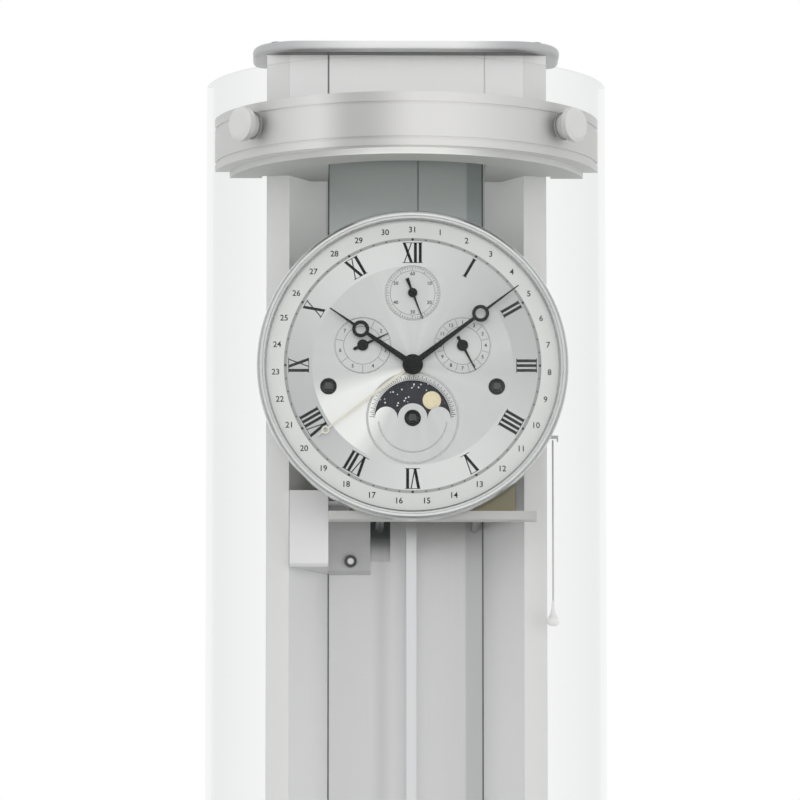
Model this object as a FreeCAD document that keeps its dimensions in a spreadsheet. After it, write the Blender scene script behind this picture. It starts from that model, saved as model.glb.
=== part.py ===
"""Regulator wall clock: bent-glass front, aluminium case, calendar dial and long pendulum.

Frame: +X to the viewer's right, +Y into the wall, +Z up, millimetres.
The origin is the centre of the hanger hole, on the wall plane y = 0.
"""
import FreeCAD, Part
import math
import os
import re

import Sketcher

Vector = FreeCAD.Vector

doc = FreeCAD.newDocument("regulator_wall_clock")
sheet = doc.addObject("Spreadsheet::Sheet", "Sizes")

# Driving dimensions, in millimetres. Heights are measured from the hanger hole.
SIZES = [
    # Case
    ("roof_under", 94.5), ("roof_thick", 8), ("roof_width", 200), ("roof_depth", 66),
    ("roof_corner", 32), ("roof_rear_corner", 9), ("roof_edge", 3.6), ("floor_top", -918.8),
    ("case_half", 90.7), ("niche_half", 50.7), ("flange_half", 76), ("flange_front", 54),
    ("panel_front", 10), ("panel_thick", 4), ("profile_wall", 3),
    ("pocket_left", -26), ("pocket_wide", 16), ("pocket_low", -232), ("pocket_high", 42), ("pocket_deep", 2.5),
    ("joint_x", 8.2), ("joint_wide", 1.2), ("joint_deep", 0.8),
    ("arc_back", 30), ("board_radius", 87), ("board_thick", 12), ("board_gap", 0.5),
    ("screw_across", 84), ("screw_rear", 12), ("screw_fore", 44), ("screw_radius", 4),
    ("screw_thick", 2),
    ("hanger_radius", 5), ("hanger_thick", 3), ("hanger_height", 30),
    ("cover_half", 75.9), ("cover_low", 40), ("cover_wall", 3), ("seam_wide", 1), ("seam_deep", 0.8),
    # Glass door
    ("glass_radius", 130), ("glass_thick", 4), ("glass_top", 75.7), ("glass_bottom", -900),
    ("glass_end", 36),
    ("ring_radius", 125.5), ("ring_inner", 102.5), ("ring_height", 34.7), ("ring_end", 46),
    ("lip_inner", 88), ("lip_radius", 116), ("lip_thick", 8), ("lip_drop", 4),
    ("upper_ring_low", 18.6), ("lower_ring_low", -877),
    ("groove_depth", 0.8), ("groove_height", 1.6), ("groove_upper", 27), ("groove_lower", 4.4),
    ("pin_across", 111.9), ("pin_deep", 52), ("pin_radius", 2.5), ("pin_long", 18),
    ("arm_thick", 3), ("arm_half", 4), ("arm_slot", 4), ("slot_reach", 5.5),
    ("foot_thick", 2), ("foot_height", 9), ("foot_deep", 24), ("fit_gap", 0.05),
    ("knob_angle", 49.8), ("knob_rise", 19.1), ("knob_radius", 11), ("knob_collar", 7.8),
    ("knob_stud", 3), ("knob_long", 12), ("washer_thick", 1), ("stud_deep", 16),
    # Movement support
    ("seat_top", -208), ("seat_thick", 5.5), ("seat_right", 83), ("seat_back", 74), ("seat_front", 88),
    ("post_left", -17), ("post_right", 45), ("post_radius", 2.6),
    ("block_front", 57), ("block_left", 75.6), ("block_right", 50.5), ("block_low", -240.5),
    ("block_top", -191), ("ear_inner", 23), ("ear_thick", 4), ("ear_top", -200),
    ("gong_height", -195), ("gong_radius", 1.25), ("gong_first", 15), ("gong_step", 5), ("gong_long", 76),
    ("gong_longer", 4), ("gong_screw_x", -35.8), ("gong_screw_rise", 8),
    ("hammer_x", -44), ("hammer_z", -175), ("hammer_reach", 16), ("hammer_drop", 14.8), ("hammer_hub", 3.2),
    ("hammer_head", 3), ("hammer_wide", 3), ("hammer_arm", 1.6), ("hammer_shaft", 1.5), ("shaft_rear", 11),
    # Movement
    ("movement_x", 3.3), ("dial_z", -115), ("plate_thick", 2), ("plate_half", 66), ("plate_notch", 40),
    ("plate_step", -162), ("plate_shoulder", 35), ("plate_neck", 35), ("plate_head", 83),
    ("front_plate_y", 86), ("back_plate_y", 46), ("pillar_radius", 4),
    ("nut_radius", 5.5), ("nut_thick", 3), ("arbor_radius", 1),
    ("wind_across", 54), ("wind_drop", 13.6), ("wind_low", 34), ("wind_radius", 3), ("wind_square", 4.2),
    ("wind_front", 99), ("barrel_radius", 17), ("ratchet_radius", 9),
    ("seconds_rise", 47), ("pivot_rise", 70), ("third_x", -10.43), ("third_z", 23.27),
    ("motion_centre", 22.4), ("cannon_radius", 2), ("hour_pipe", 3), ("date_pipe", 4.2),
    # Dial
    ("dial_front", 96), ("dial_thick", 1.2), ("dial_radius", 97), ("dial_open", 94), ("dial_post", 2.5),
    ("bezel_radius", 100), ("bezel_deep", 12.5), ("bezel_lip", 6), ("subdial_across", 32), ("subdial_rise", 13),
    ("grommet_radius", 5.3), ("grommet_hole", 4.2), ("moon_radius", 27), ("moon_window", 24.5),
    ("moon_hump", 9.5), ("moon_end_hump", 7.3), ("moon_orbit", 17), ("moon_bush", 7.9),
    ("hour_length", 64.5), ("minute_length", 85), ("date_length", 76), ("small_hand", 18),
    ("hand_thick", 0.8), ("hour_front", 101.8), ("minute_front", 103.6), ("date_front", 99.6),
    ("seconds_front", 98), ("small_front", 97.4), ("collar_front", 94.7), ("moon_front", 93.8),
    ("slim_thick", 0.5), ("date_thick", 0.6), ("hour_ring", 40.5), ("minute_ring", 54.5), ("date_ring", 70),
    # Pendulum
    ("pendulum_y", 38), ("rod_width", 6.5), ("rod_thick", 3), ("rod_top", -62), ("rod_low", -779),
    ("bob_z", -735), ("bob_radius", 44), ("bob_half", 7.5), ("nut_z", -791), ("rating_radius", 7),
    # Pull cord
    ("cord_x", 94.3), ("cord_y", 62), ("cord_top", -159), ("cord_low", -263), ("cord_radius", 0.6),
    ("bell_low", -279.6), ("bell_radius", 4), ("lever_x", 64), ("lever_z", -158),
]
for row, (alias, value) in enumerate(SIZES, start=1):
    sheet.set(f"A{row}", alias)
    sheet.set(f"B{row}", str(value))
    sheet.setAlias(f"B{row}", alias)
doc.recompute()

nodes = {}


def size(alias):
    """The value of one cell of the sheet."""
    return float(sheet.get(alias))


def ref(text):
    """An expression in which every word is a cell of the sheet."""
    return re.sub(r"[a-z][a-z_]*", lambda word: "Sizes." + word.group(0), str(text))


def bind(obj, **sizes):
    for prop, text in sizes.items():
        obj.setExpression(prop, ref(text))


TURN_TO = {
    "Z": FreeCAD.Rotation(),
    "Y": FreeCAD.Rotation(Vector(1, 0, 0), -90),
    "X": FreeCAD.Rotation(Vector(0, 1, 0), 90),
    "-Y": FreeCAD.Rotation(Vector(1, 0, 0), 90),
}
TO_VIEWER = FreeCAD.Rotation(Vector(0, 0, 1), 180)


def place(obj, x=0, y=0, z=0, rotation=None):
    obj.Placement = FreeCAD.Placement(Vector(), rotation or FreeCAD.Rotation())
    for letter, text in zip("xyz", (x, y, z)):
        obj.setExpression("Placement.Base." + letter, ref(text))
    return obj


def node(label, obj):
    obj.Label = label
    nodes[label] = obj
    return obj


def box(name, x, y, z, wide, deep, high):
    obj = doc.addObject("Part::Box", name)
    bind(obj, Length=wide, Width=deep, Height=high)
    return place(obj, x, y, z)


def rod(name, radius, length, x, y, z, axis="Y"):
    obj = doc.addObject("Part::Cylinder", name)
    bind(obj, Radius=radius, Height=length)
    return place(obj, x, y, z, TURN_TO[axis])


def half_round(name, radius, length, x, y, z, rotation):
    """Half a cylinder, cut along its axis."""
    obj = doc.addObject("Part::Cylinder", name)
    bind(obj, Radius=radius, Height=length)
    obj.Angle = 180
    return place(obj, x, y, z, rotation)


def fuse(name, pieces):
    obj = doc.addObject("Part::MultiFuse", name)
    obj.Shapes = pieces
    obj.Refine = True
    return obj


def cut(name, base, tools):
    obj = doc.addObject("Part::Cut", name)
    obj.Base = base
    obj.Tool = tools[0] if len(tools) == 1 else fuse(name + "_tools", tools)
    return obj


def common(name, pieces):
    obj = doc.addObject("Part::MultiCommon", name)
    obj.Shapes = pieces
    return obj


def group(name, pieces):
    obj = doc.addObject("Part::Compound", name)
    obj.Links = pieces
    return obj


def outline_sketch(body, name, plane, points):
    """A closed sketch whose corners are held by expressions, measured from the body's origin."""
    sketch = body.newObject("Sketcher::SketchObject", name)
    support = [item for item in body.Origin.OriginFeatures if item.Role == plane][0]
    sketch.AttachmentSupport = [(support, "")]
    sketch.MapMode = "FlatFace"
    count = len(points)
    angles = [i * math.tau / count for i in range(count)]
    corners = [Vector(math.cos(angle), math.sin(angle), 0) for angle in angles]
    for i in range(count):
        sketch.addGeometry(Part.LineSegment(corners[i], corners[(i + 1) % count]), False)
    for i in range(count):
        sketch.addConstraint(Sketcher.Constraint("Coincident", i, 2, (i + 1) % count, 1))
    for i, (across, up) in enumerate(points):
        for kind, text in (("DistanceX", across), ("DistanceY", up)):
            index = sketch.addConstraint(Sketcher.Constraint(kind, -1, 1, i, 1, 1.0))
            sketch.setExpression(f"Constraints[{index}]", ref(text))
    return sketch


def turned(name, profile, x=0, y=0, z=0, axis="Z", rotation=None):
    """A body turned about its own axis from (radius, distance along the axis) corners."""
    body = doc.addObject("PartDesign::Body", name)
    sketch = outline_sketch(body, name + "_profile", "XZ_Plane", profile)
    turn = body.newObject("PartDesign::Revolution", name + "_turn")
    turn.Profile = sketch
    turn.ReferenceAxis = (sketch, ["V_Axis"])
    turn.Angle = 360
    return place(body, x, y, z, rotation or TURN_TO[axis])


def padded(name, points, length, plane="XY_Plane", x=0, y=0, z=0):
    """A body padded from a straight-sided outline."""
    body = doc.addObject("PartDesign::Body", name)
    sketch = outline_sketch(body, name + "_outline", plane, points)
    pad = body.newObject("PartDesign::Pad", name + "_pad")
    pad.Profile = sketch
    bind(pad, Length=length)
    return place(body, x, y, z)


def solid(name, shape):
    """A feature whose shape is worked out from the sheet's values."""
    obj = doc.addObject("Part::Feature", name)
    obj.Shape = shape
    return obj


# Case


def upright(edge):
    return abs(edge.tangentAt(edge.FirstParameter).z) > 0.9


def make_cap(label, low):
    """Roof or floor plate: wide round corners in front, small ones at the wall, all long edges eased."""
    body = padded(label + "_plate", [
        ("-roof_width/2", "0"), ("-roof_width/2", "-roof_depth"),
        ("roof_width/2", "-roof_depth"), ("roof_width/2", "0")], "roof_thick", z=low)
    middle = -size("roof_depth") / 2
    steps = [("fore", "roof_corner", lambda edge: upright(edge) and edge.CenterOfMass.y < middle),
             ("rear", "roof_rear_corner", lambda edge: upright(edge) and edge.CenterOfMass.y > middle),
             ("ease", "roof_edge", lambda edge: edge.BoundBox.ZLength < 0.1)]
    for word, radius, wanted in steps:
        doc.recompute()
        base = body.Tip
        fillet = body.newObject("PartDesign::Fillet", f"{label}_{word}")
        fillet.Base = (base, [f"Edge{i}" for i, edge in enumerate(base.Shape.Edges, start=1) if wanted(edge)])
        bind(fillet, Radius=radius)
    node(label, body)


def cheek_outline(name, side, low, high):
    """The full outline of a cheek between two heights."""
    return padded(name, [
        (f"{side}*case_half", "0"), (f"{side}*case_half", "-flange_front"),
        (f"{side}*flange_half", "-flange_front"), (f"{side}*niche_half", "-panel_front"),
        (f"{side}*niche_half", "0")], f"{high} - ({low})", z=low)


def make_cheek(label, side):
    """One side of the case: a hollow extrusion with a flat flange and a slanted reveal."""
    outer = cheek_outline(label + "_profile", side, "floor_top", "roof_under")
    hollow = padded(label + "_hollow", [
        (f"{side}*(case_half - profile_wall)", "-profile_wall"),
        (f"{side}*(case_half - profile_wall)", "profile_wall - flange_front"),
        (f"{side}*(flange_half + profile_wall*0.6)", "profile_wall - flange_front"),
        (f"{side}*(niche_half + profile_wall)", "-panel_front - profile_wall*0.6"),
        (f"{side}*(niche_half + profile_wall)", "-profile_wall")], "roof_under - floor_top", z="floor_top")
    node(label, cut(label, outer, [hollow]))


def make_panel():
    """The rear wall of the niche, with a blind pocket under the seat and a joint line above it."""
    sheet_metal = box("panel_sheet", "-niche_half", "-panel_front", "floor_top",
                      "2*niche_half", "panel_thick", "roof_under - floor_top")
    pocket = box("panel_pocket", "pocket_left", "-panel_front - 1", "pocket_low",
                 "pocket_wide", "pocket_deep + 1", "pocket_high")
    joint = box("panel_joint", "joint_x - joint_wide/2", "-panel_front - 1", "seat_top",
                "joint_wide", "joint_deep + 1", "roof_under + 1 - seat_top")
    node("back_panel", cut("back_panel", sheet_metal, [pocket, joint]))


def make_board(label, low, extra=()):
    """Half-round board that closes the case behind a ring and stands on both cheeks."""
    half = half_round(label + "_half", "board_radius", "board_thick", 0, "-arc_back", low, TO_VIEWER)
    tongue = box(label + "_tongue", "-niche_half", "-arc_back - 1", low,
                 "2*niche_half", "arc_back + 1 - panel_front", "board_thick")
    tools = [cheek_outline(f"{label}_cheek_{word}", side, f"{low} - 1", f"{low} + board_thick + 1")
             for word, side in (("left", -1), ("right", 1))]
    whole = fuse(label + "_whole", [half, tongue])
    node(label, cut(label, whole, tools + list(extra)))


def make_header_cover():
    """A plate that closes the niche under the roof, on two ribs, with a seam line above each rib."""
    height = "roof_under - cover_low"
    rear_half = "(cover_half - cover_wall*(flange_half - niche_half)/(flange_front - panel_front))"
    plate = padded("cover_plate", [
        ("-cover_half", "-flange_front"), ("cover_half", "-flange_front"),
        (rear_half, "cover_wall - flange_front"), (f"-{rear_half}", "cover_wall - flange_front")],
        height, z="cover_low")
    ribs, seams = [], []
    for i, side in enumerate((-1, 1)):
        ribs.append(box(f"cover_rib_{i}", f"{side}*(niche_half - cover_wall) - cover_wall/2",
                        "cover_wall - flange_front", "cover_low",
                        "cover_wall", "flange_front - cover_wall - panel_front", height))
        seams.append(box(f"cover_seam_{i}", f"{side}*niche_half - seam_wide/2", "-flange_front - 1",
                         "cover_low - 1", "seam_wide", "seam_deep + 1", f"{height} + 2"))
    node("header_cover", cut("header_cover", fuse("cover_body", [plate] + ribs), seams))


def make_case():
    make_cap("top_plate", "roof_under")
    make_cap("bottom_plate", "floor_top - roof_thick")
    make_cheek("left_cheek", -1)
    make_cheek("right_cheek", 1)
    make_panel()
    well = box("head_well", "-niche_half", "-arc_back - board_radius - 1", "upper_ring_low - lip_drop",
               "2*niche_half", "arc_back + board_radius + 1", "board_thick + 2*board_gap")
    make_board("head_board", "upper_ring_low - lip_drop + board_gap", [well])
    make_header_cover()
    make_board("base_board", "lower_ring_low + ring_height + lip_drop - board_gap - board_thick")
    bar = box("hanger_strap", "-niche_half", "-hanger_thick", "-hanger_height/2",
              "2*niche_half", "hanger_thick", "hanger_height")
    hole = rod("hanger_hole", "hanger_radius", "hanger_thick + 2", 0, "-hanger_thick - 1", 0)
    node("hanger_bar", cut("hanger_bar", bar, [hole]))


def make_brackets():
    """Arms that reach into the ring ends: the left pair carries the pins, the right pair is the catch."""
    brackets = []
    for word in ("upper", "lower"):
        middle = f"{word}_ring_low + ring_height/2"
        for kind, side in (("hinge", -1), ("catch", 1)):
            name = f"{kind}_{word}"
            inner = "case_half" if side > 0 else "-pin_across"
            foot_x = "case_half" if side > 0 else "-case_half - foot_thick"
            pieces = [
                box(name + "_arm", inner, "-pin_deep - arm_half", f"{middle} - arm_thick/2",
                    "pin_across - case_half", "2*arm_half", "arm_thick"),
                rod(name + "_end", "arm_half", "arm_thick", f"{side}*pin_across", "-pin_deep",
                    f"{middle} - arm_thick/2", "Z"),
                box(name + "_foot", foot_x, "-flange_front", f"{middle} - foot_height/2",
                    "foot_thick", "foot_deep", "foot_height")]
            if kind == "hinge":
                pieces.append(rod(name + "_pin", "pin_radius", "pin_long", "-pin_across", "-pin_deep",
                                  f"{middle} - pin_long/2", "Z"))
            brackets.append(fuse(name, pieces))
    node("door_brackets", group("door_brackets", brackets))


def make_case_screws():
    """Screw heads on roof, floor and gong ear, all alike."""
    heads = []
    spots = [(f"{side}*screw_across", f"-screw_{row}") for side in (-1, 1) for row in ("rear", "fore")]
    for i, (across, deep) in enumerate(spots):
        heads.append(rod(f"roof_screw_{i}", "screw_radius", "screw_thick", across, deep,
                         "roof_under + roof_thick", "Z"))
        heads.append(rod(f"floor_screw_{i}", "screw_radius", "screw_thick", across, deep,
                         "floor_top - roof_thick - screw_thick", "Z"))
    heads.append(rod("gong_screw", "screw_radius", "screw_thick", "gong_screw_x",
                     "-panel_front - ear_thick - screw_thick", "block_low + gong_screw_rise"))
    node("case_screws", group("case_screws", heads))


# Door


def half_tube(name, outer, inner, low, high):
    """Half a tube round the glass axis, on the viewer's side."""
    pieces = [half_round(f"{name}_{word}", radius, f"{high} - ({low})", 0, "-arc_back", low, TO_VIEWER)
              for word, radius in (("outer", outer), ("inner", inner))]
    return cut(name, pieces[0], [pieces[1]])


KNOBS = [("upper_left", -1, "upper_ring_low + knob_rise"), ("upper_right", 1, "upper_ring_low + knob_rise"),
         ("lower_left", -1, "lower_ring_low + knob_rise"), ("lower_right", 1, "lower_ring_low + knob_rise")]


def radial(side):
    """Rotation that turns +Z to the outward direction of a knob."""
    angle = math.radians(size("knob_angle"))
    outward = Vector(side * math.sin(angle), -math.cos(angle), 0)
    return FreeCAD.Rotation(Vector(0, 0, 1), outward)


def radial_point(side, radius):
    return (f"{side}*({radius})*{math.sin(math.radians(size('knob_angle')))}",
            f"-arc_back - ({radius})*{math.cos(math.radians(size('knob_angle')))}")


def radial_rod(name, radius, start, length, side, height):
    obj = doc.addObject("Part::Cylinder", name)
    bind(obj, Radius=radius, Height=length)
    x, y = radial_point(side, start)
    return place(obj, x, y, height, radial(side))


def make_glass():
    pane = half_tube("glass_pane", "glass_radius", "glass_radius - glass_thick", "glass_bottom", "glass_top")
    tools = [radial_rod(f"glass_hole_{word}", "knob_stud + 1", "ring_radius - 2", "12", side, height)
             for word, side, height in KNOBS]
    tools.append(box("glass_trim", "-glass_radius - 1", "-glass_end", "glass_bottom - 1",
                     "2*glass_radius + 2", "glass_end", "glass_top - glass_bottom + 2"))
    node("glass_front", cut("glass_front", pane, tools))


def make_ring(label, low, lip_low):
    """Half-round grooved band with a flat lip that stands out of it, its ends slotted for the bracket arms."""
    band = half_tube(label + "_band", "ring_radius", "ring_inner", low, f"{low} + ring_height")
    lip = half_tube(label + "_lip", "lip_radius", "lip_inner", lip_low, f"{lip_low} + lip_thick")
    whole = fuse(label + "_whole", [band, lip])
    tools = [half_tube(f"{label}_groove_{word}", "ring_radius + 1", "ring_radius - groove_depth",
                       f"{low} + {word}", f"{low} + {word} + groove_height")
             for word in ("groove_upper", "groove_lower")]
    under, full_height = f"{low} - 2*lip_drop", "ring_height + 4*lip_drop"
    tools.append(box(label + "_trim", "-ring_radius - 1", "-ring_end", under,
                     "2*ring_radius + 2", "ring_end", full_height))
    tools.append(box(label + "_case_gap", "-case_half - board_gap*6", "-flange_front - board_gap", under,
                     "2*case_half + board_gap*12", "flange_front", full_height))
    tools.append(rod(label + "_pin_hole", "pin_radius + fit_gap", "pin_long + 1", "-pin_across", "-pin_deep",
                     f"{low} + ring_height/2 - pin_long/2 - 0.5", "Z"))
    tools += [box(f"{label}_slot_{i}", x, "-pin_deep - arm_half - 0.5", f"{low} + ring_height/2 - arm_slot/2",
                  "pin_across + slot_reach - case_half", "arm_half + 0.5 + pin_deep - ring_end + 1", "arm_slot")
              for i, x in enumerate(("-pin_across - slot_reach", "case_half"))]
    tools += [radial_rod(f"{label}_stud_{side + 1}", "knob_stud + fit_gap", "ring_radius - stud_deep",
                         "stud_deep + 2", side, f"{low} + knob_rise") for side in (-1, 1)]
    node(label, cut(label, whole, tools))


def make_knobs():
    washers = []
    for word, side, height in KNOBS:
        x, y = radial_point(side, "glass_radius + washer_thick")
        knob = turned(f"knob_{word}", [
            ("0", "-washer_thick - glass_radius + ring_radius - stud_deep + 2"),
            ("knob_stud", "-washer_thick - glass_radius + ring_radius - stud_deep + 2"),
            ("knob_stud", "0"), ("knob_collar", "0"), ("knob_collar", "knob_long/2 - 1"),
            ("knob_radius - 0.8", "knob_long/2 - 1"), ("knob_radius", "knob_long/2"),
            ("knob_radius", "knob_long - 2"), ("knob_radius - 1.6", "knob_long - 0.4"),
            ("knob_radius - 3", "knob_long"), ("0", "knob_long")], x, y, height, rotation=radial(side))
        node(f"knob_{word}", knob)
        disc = radial_rod(f"washer_disc_{word}", "knob_collar + 1.2", "glass_radius", "washer_thick",
                          side, height)
        bore = radial_rod(f"washer_bore_{word}", "knob_stud + fit_gap*2", "glass_radius - 1",
                          "washer_thick + 2", side, height)
        dent = rod(f"washer_dent_{word}", "glass_radius", "40", 0, "-arc_back", f"{height} - 20", "Z")
        washers.append(cut(f"washer_{word}", disc, [bore, dent]))
    node("knob_washers", group("knob_washers", washers))


# Movement support and chime


def make_seat():
    node("seat_board", box("seat_board", "-block_right", "-seat_front", "seat_top - seat_thick",
                           "seat_right + block_right", "seat_front - seat_back", "seat_thick"))
    posts = [rod("seat_" + across, "post_radius", "seat_back - panel_front", across,
                 "-seat_back", "seat_top - seat_thick/2") for across in ("post_left", "post_right")]
    node("seat_posts", group("seat_posts", posts))


def make_gongs():
    wedge = padded("gong_wedge", [
        ("-block_left", "-block_front"), ("-block_right", "-block_front"),
        ("-block_right", "-panel_front - 0.6"), ("-block_left", "-flange_front - 0.6")],
        "block_top - block_low", z="block_low")
    ear = box("gong_ear", "-block_right - 0.1", "-panel_front - ear_thick", "block_low",
              "block_right + 0.1 - ear_inner", "ear_thick", "ear_top - block_low")
    node("gong_block", fuse("gong_block", [wedge, ear]))
    rods = [rod(f"gong_rod_{i}", "gong_radius", f"gong_long + gong_longer*{i}", "-block_right",
                f"-gong_first - gong_step*{i}", "gong_height", "X") for i in range(4)]
    node("gong_rods", group("gong_rods", rods))


def make_hammers():
    hammers = []
    for i in range(4):
        y = f"-gong_first - gong_step*{i} - hammer_wide/2"
        hub = rod(f"hammer_hub_{i}", "hammer_hub", "hammer_wide", "hammer_x", y, "hammer_z")
        head = rod(f"hammer_head_{i}", "hammer_head", "hammer_wide", "hammer_x + hammer_reach", y,
                   "hammer_z - hammer_drop")
        arm = doc.addObject("Part::Box", f"hammer_arm_{i}")
        reach, drop = size("hammer_reach"), size("hammer_drop")
        bind(arm, Length=math.hypot(reach, drop), Width="hammer_wide", Height="hammer_arm")
        tilt = FreeCAD.Rotation(Vector(0, 1, 0), math.degrees(math.atan2(drop, reach)))
        place(arm, "hammer_x", y, "hammer_z", tilt)
        bore = rod(f"hammer_bore_{i}", "hammer_shaft + fit_gap", "hammer_wide + 2", "hammer_x",
                   f"{y} - 1", "hammer_z")
        hammers.append(cut(f"hammer_{i}", fuse(f"hammer_body_{i}", [hub, head, arm]), [bore]))
    node("chime_hammers", group("chime_hammers", hammers))
    node("hammer_shaft", rod("hammer_shaft", "hammer_shaft", "back_plate_y - plate_thick - shaft_rear",
                             "hammer_x", "plate_thick - back_plate_y", "hammer_z"))


# Movement frame

# Places across and above the dial centre.
PILLARS = [(-30, -87), (46, -80), (-58, 30), (58, 30)]
DIAL_POSTS = [(-50, 42), (50, 42), (-48, -62), (48, -62)]
WINDERS = [("strike", "-wind_across", "dial_z - wind_drop"), ("chime", "wind_across", "dial_z - wind_drop"),
           ("going", "0", "dial_z - wind_low")]


def movement_plate(name, rear):
    """A brass plate with a tapered top, its lower edge on the seat board."""
    return padded(name, [
        ("-plate_notch", "seat_top"), ("plate_half", "seat_top"), ("plate_half", "dial_z + plate_shoulder"),
        ("plate_neck", "dial_z + plate_head"), ("-plate_neck", "dial_z + plate_head"),
        ("-plate_half", "dial_z + plate_shoulder"), ("-plate_half", "plate_step"),
        ("-plate_notch", "plate_step - plate_half + plate_notch")], "plate_thick", "XZ_Plane", y=rear)


def plate_bore(name, radius, x, z, plate):
    return rod(name, radius, "plate_thick + 2", x, f"-{plate} - 1", z)


def make_plates():
    train = [("centre", "0", "dial_z"), ("third", "third_x", "dial_z + third_z"),
             ("escape", "0", "dial_z + seconds_rise"), ("anchor", "0", "dial_z + pivot_rise"),
             ("lever", "lever_x - movement_x", "lever_z")]
    for label, plate, rear in (("front_plate", "front_plate_y", "plate_thick - front_plate_y"),
                               ("back_plate", "back_plate_y", "plate_thick - back_plate_y")):
        sheet_metal = movement_plate(label + "_sheet", rear)
        bores = [plate_bore(f"{label}_{word}", "arbor_radius + fit_gap", x, z, plate) for word, x, z in train]
        bores += [plate_bore(f"{label}_{word}", "wind_radius + fit_gap", x, z, plate)
                  for word, x, z in WINDERS]
        if label == "front_plate":
            stud = rod("motion_stud", "1.2", "7", "motion_centre", "-front_plate_y - 7", "dial_z")
            node(label, fuse(label, [cut(label + "_bored", sheet_metal, bores), stud]))
        else:
            node(label, cut(label, sheet_metal, bores))
    pillars = []
    for i, (x, z) in enumerate(PILLARS):
        spacer = rod(f"pillar_{i}", "pillar_radius", "front_plate_y - back_plate_y - plate_thick",
                     x, "plate_thick - front_plate_y", f"dial_z + ({z})")
        nut = rod(f"pillar_nut_{i}", "nut_radius", "nut_thick", x, "-front_plate_y - nut_thick",
                  f"dial_z + ({z})")
        pillars += [spacer, nut]
    node("plate_pillars", group("plate_pillars", pillars))
    cock = box("cock_block", "-10", "plate_thick - back_plate_y", "dial_z + pivot_rise + 1.6",
               "20", "12", "11")
    slot = box("cock_slot", "-5", "-pendulum_y - 1", "dial_z + pivot_rise - 1", "10", "2", "14")
    node("suspension_cock", cut("suspension_cock", cock, [slot]))


# Dial


def make_dial():
    disc = rod("dial_disc", "dial_radius", "dial_thick", 0, "-dial_front", "dial_z")
    low, high = "-dial_front - 1", "dial_thick + 2"
    holes = [rod("dial_centre", "date_pipe + fit_gap", high, 0, low, "dial_z"),
             rod("dial_seconds", "arbor_radius + 0.3", high, 0, low, "dial_z + seconds_rise")]
    holes += [rod(f"dial_small_{i}", "1.5 + fit_gap", high, f"{side}*subdial_across", low,
                  "dial_z + subdial_rise") for i, side in enumerate((-1, 1))]
    holes += [rod(f"dial_wind_{word}", "grommet_radius", high, x, low, z) for word, x, z in WINDERS]
    moon_z = "dial_z - wind_low"
    arch = half_round("moon_arch", "moon_window", high, 0, "1 + dial_thick - dial_front", moon_z,
                      TURN_TO["-Y"])
    humps = [rod("moon_middle", "moon_hump", "dial_thick + 4", 0, "-dial_front - 2", moon_z)]
    humps += [rod(f"moon_side_{i}", "moon_end_hump", "dial_thick + 4", f"{side}*moon_orbit",
                  "-dial_front - 2", moon_z) for i, side in enumerate((-1, 1))]
    window = cut("moon_window", arch, humps)
    bush = cut("moon_bush", rod("moon_bush_outer", "moon_bush", "3", 0, "-dial_front + dial_thick", moon_z),
               [rod("moon_bush_bore", "grommet_radius", "5", 0, "-dial_front", moon_z)])
    pierced = cut("dial_pierced", disc, holes + [window])
    node("dial_plate", fuse("dial_plate", [pierced, bush]))
    posts = [rod(f"dial_post_{i}", "dial_post", "dial_front - dial_thick - front_plate_y", x,
                 "-dial_front + dial_thick", f"dial_z + ({z})") for i, (x, z) in enumerate(DIAL_POSTS)]
    node("dial_posts", group("dial_posts", posts))
    node("bezel", turned("bezel", [
        ("dial_radius + 0.2", "0"), ("bezel_radius", "0"), ("bezel_radius", "bezel_deep - 3.4"),
        ("bezel_radius - 0.7", "bezel_deep - 1.4"), ("bezel_radius - 2", "bezel_deep"),
        ("bezel_radius - 3.2", "bezel_deep"), ("bezel_radius - 3.7", "bezel_deep - 1"),
        ("bezel_radius - 4.8", "bezel_deep - 1.4"), ("bezel_radius - 5.2", "bezel_deep - 2.6"),
        ("dial_open", "bezel_deep - 3.2"), ("dial_open", "bezel_deep - bezel_lip"),
        ("dial_radius + 0.2", "bezel_deep - bezel_lip")],
        0, "bezel_deep - bezel_lip - dial_front", "dial_z", "-Y"))
    rings = []
    for word, x, z in WINDERS:
        collar = rod(f"grommet_outer_{word}", "grommet_radius", "dial_thick + 1", x, "-dial_front - 0.5", z)
        bore = rod(f"grommet_bore_{word}", "grommet_hole", "dial_thick + 3", x, "-dial_front - 1.5", z)
        rings.append(cut(f"grommet_{word}", collar, [bore]))
    node("winding_grommets", group("winding_grommets", rings))


# Wheels

TOOTH_AT_PITCH = 0.42
TOOTH_AT_TIP = 0.20
TOOTH_AT_ROOT = 0.56
ADDENDUM = 0.8
DEDENDUM = 1.1


def wheel_shape(teeth, module, thick, turn=0.0):
    """A toothed disc on the Y axis, front face at y = 0, with its first tooth at the angle turn."""
    pitch = teeth * module / 2
    root, tip = pitch - DEDENDUM * module, pitch + ADDENDUM * module
    step = math.tau / teeth
    flank = ((-TOOTH_AT_ROOT, root), (-TOOTH_AT_PITCH, pitch), (-TOOTH_AT_TIP, tip),
             (TOOTH_AT_TIP, tip), (TOOTH_AT_PITCH, pitch), (TOOTH_AT_ROOT, root))
    corners = []
    for i in range(teeth):
        middle = math.radians(turn) + i * step
        for share, radius in flank:
            angle = middle + share * step / 2
            corners.append(Vector(radius * math.cos(angle), 0, radius * math.sin(angle)))
    face = Part.Face(Part.makePolygon(corners + corners[:1]))
    return face.extrude(Vector(0, thick, 0))


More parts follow.
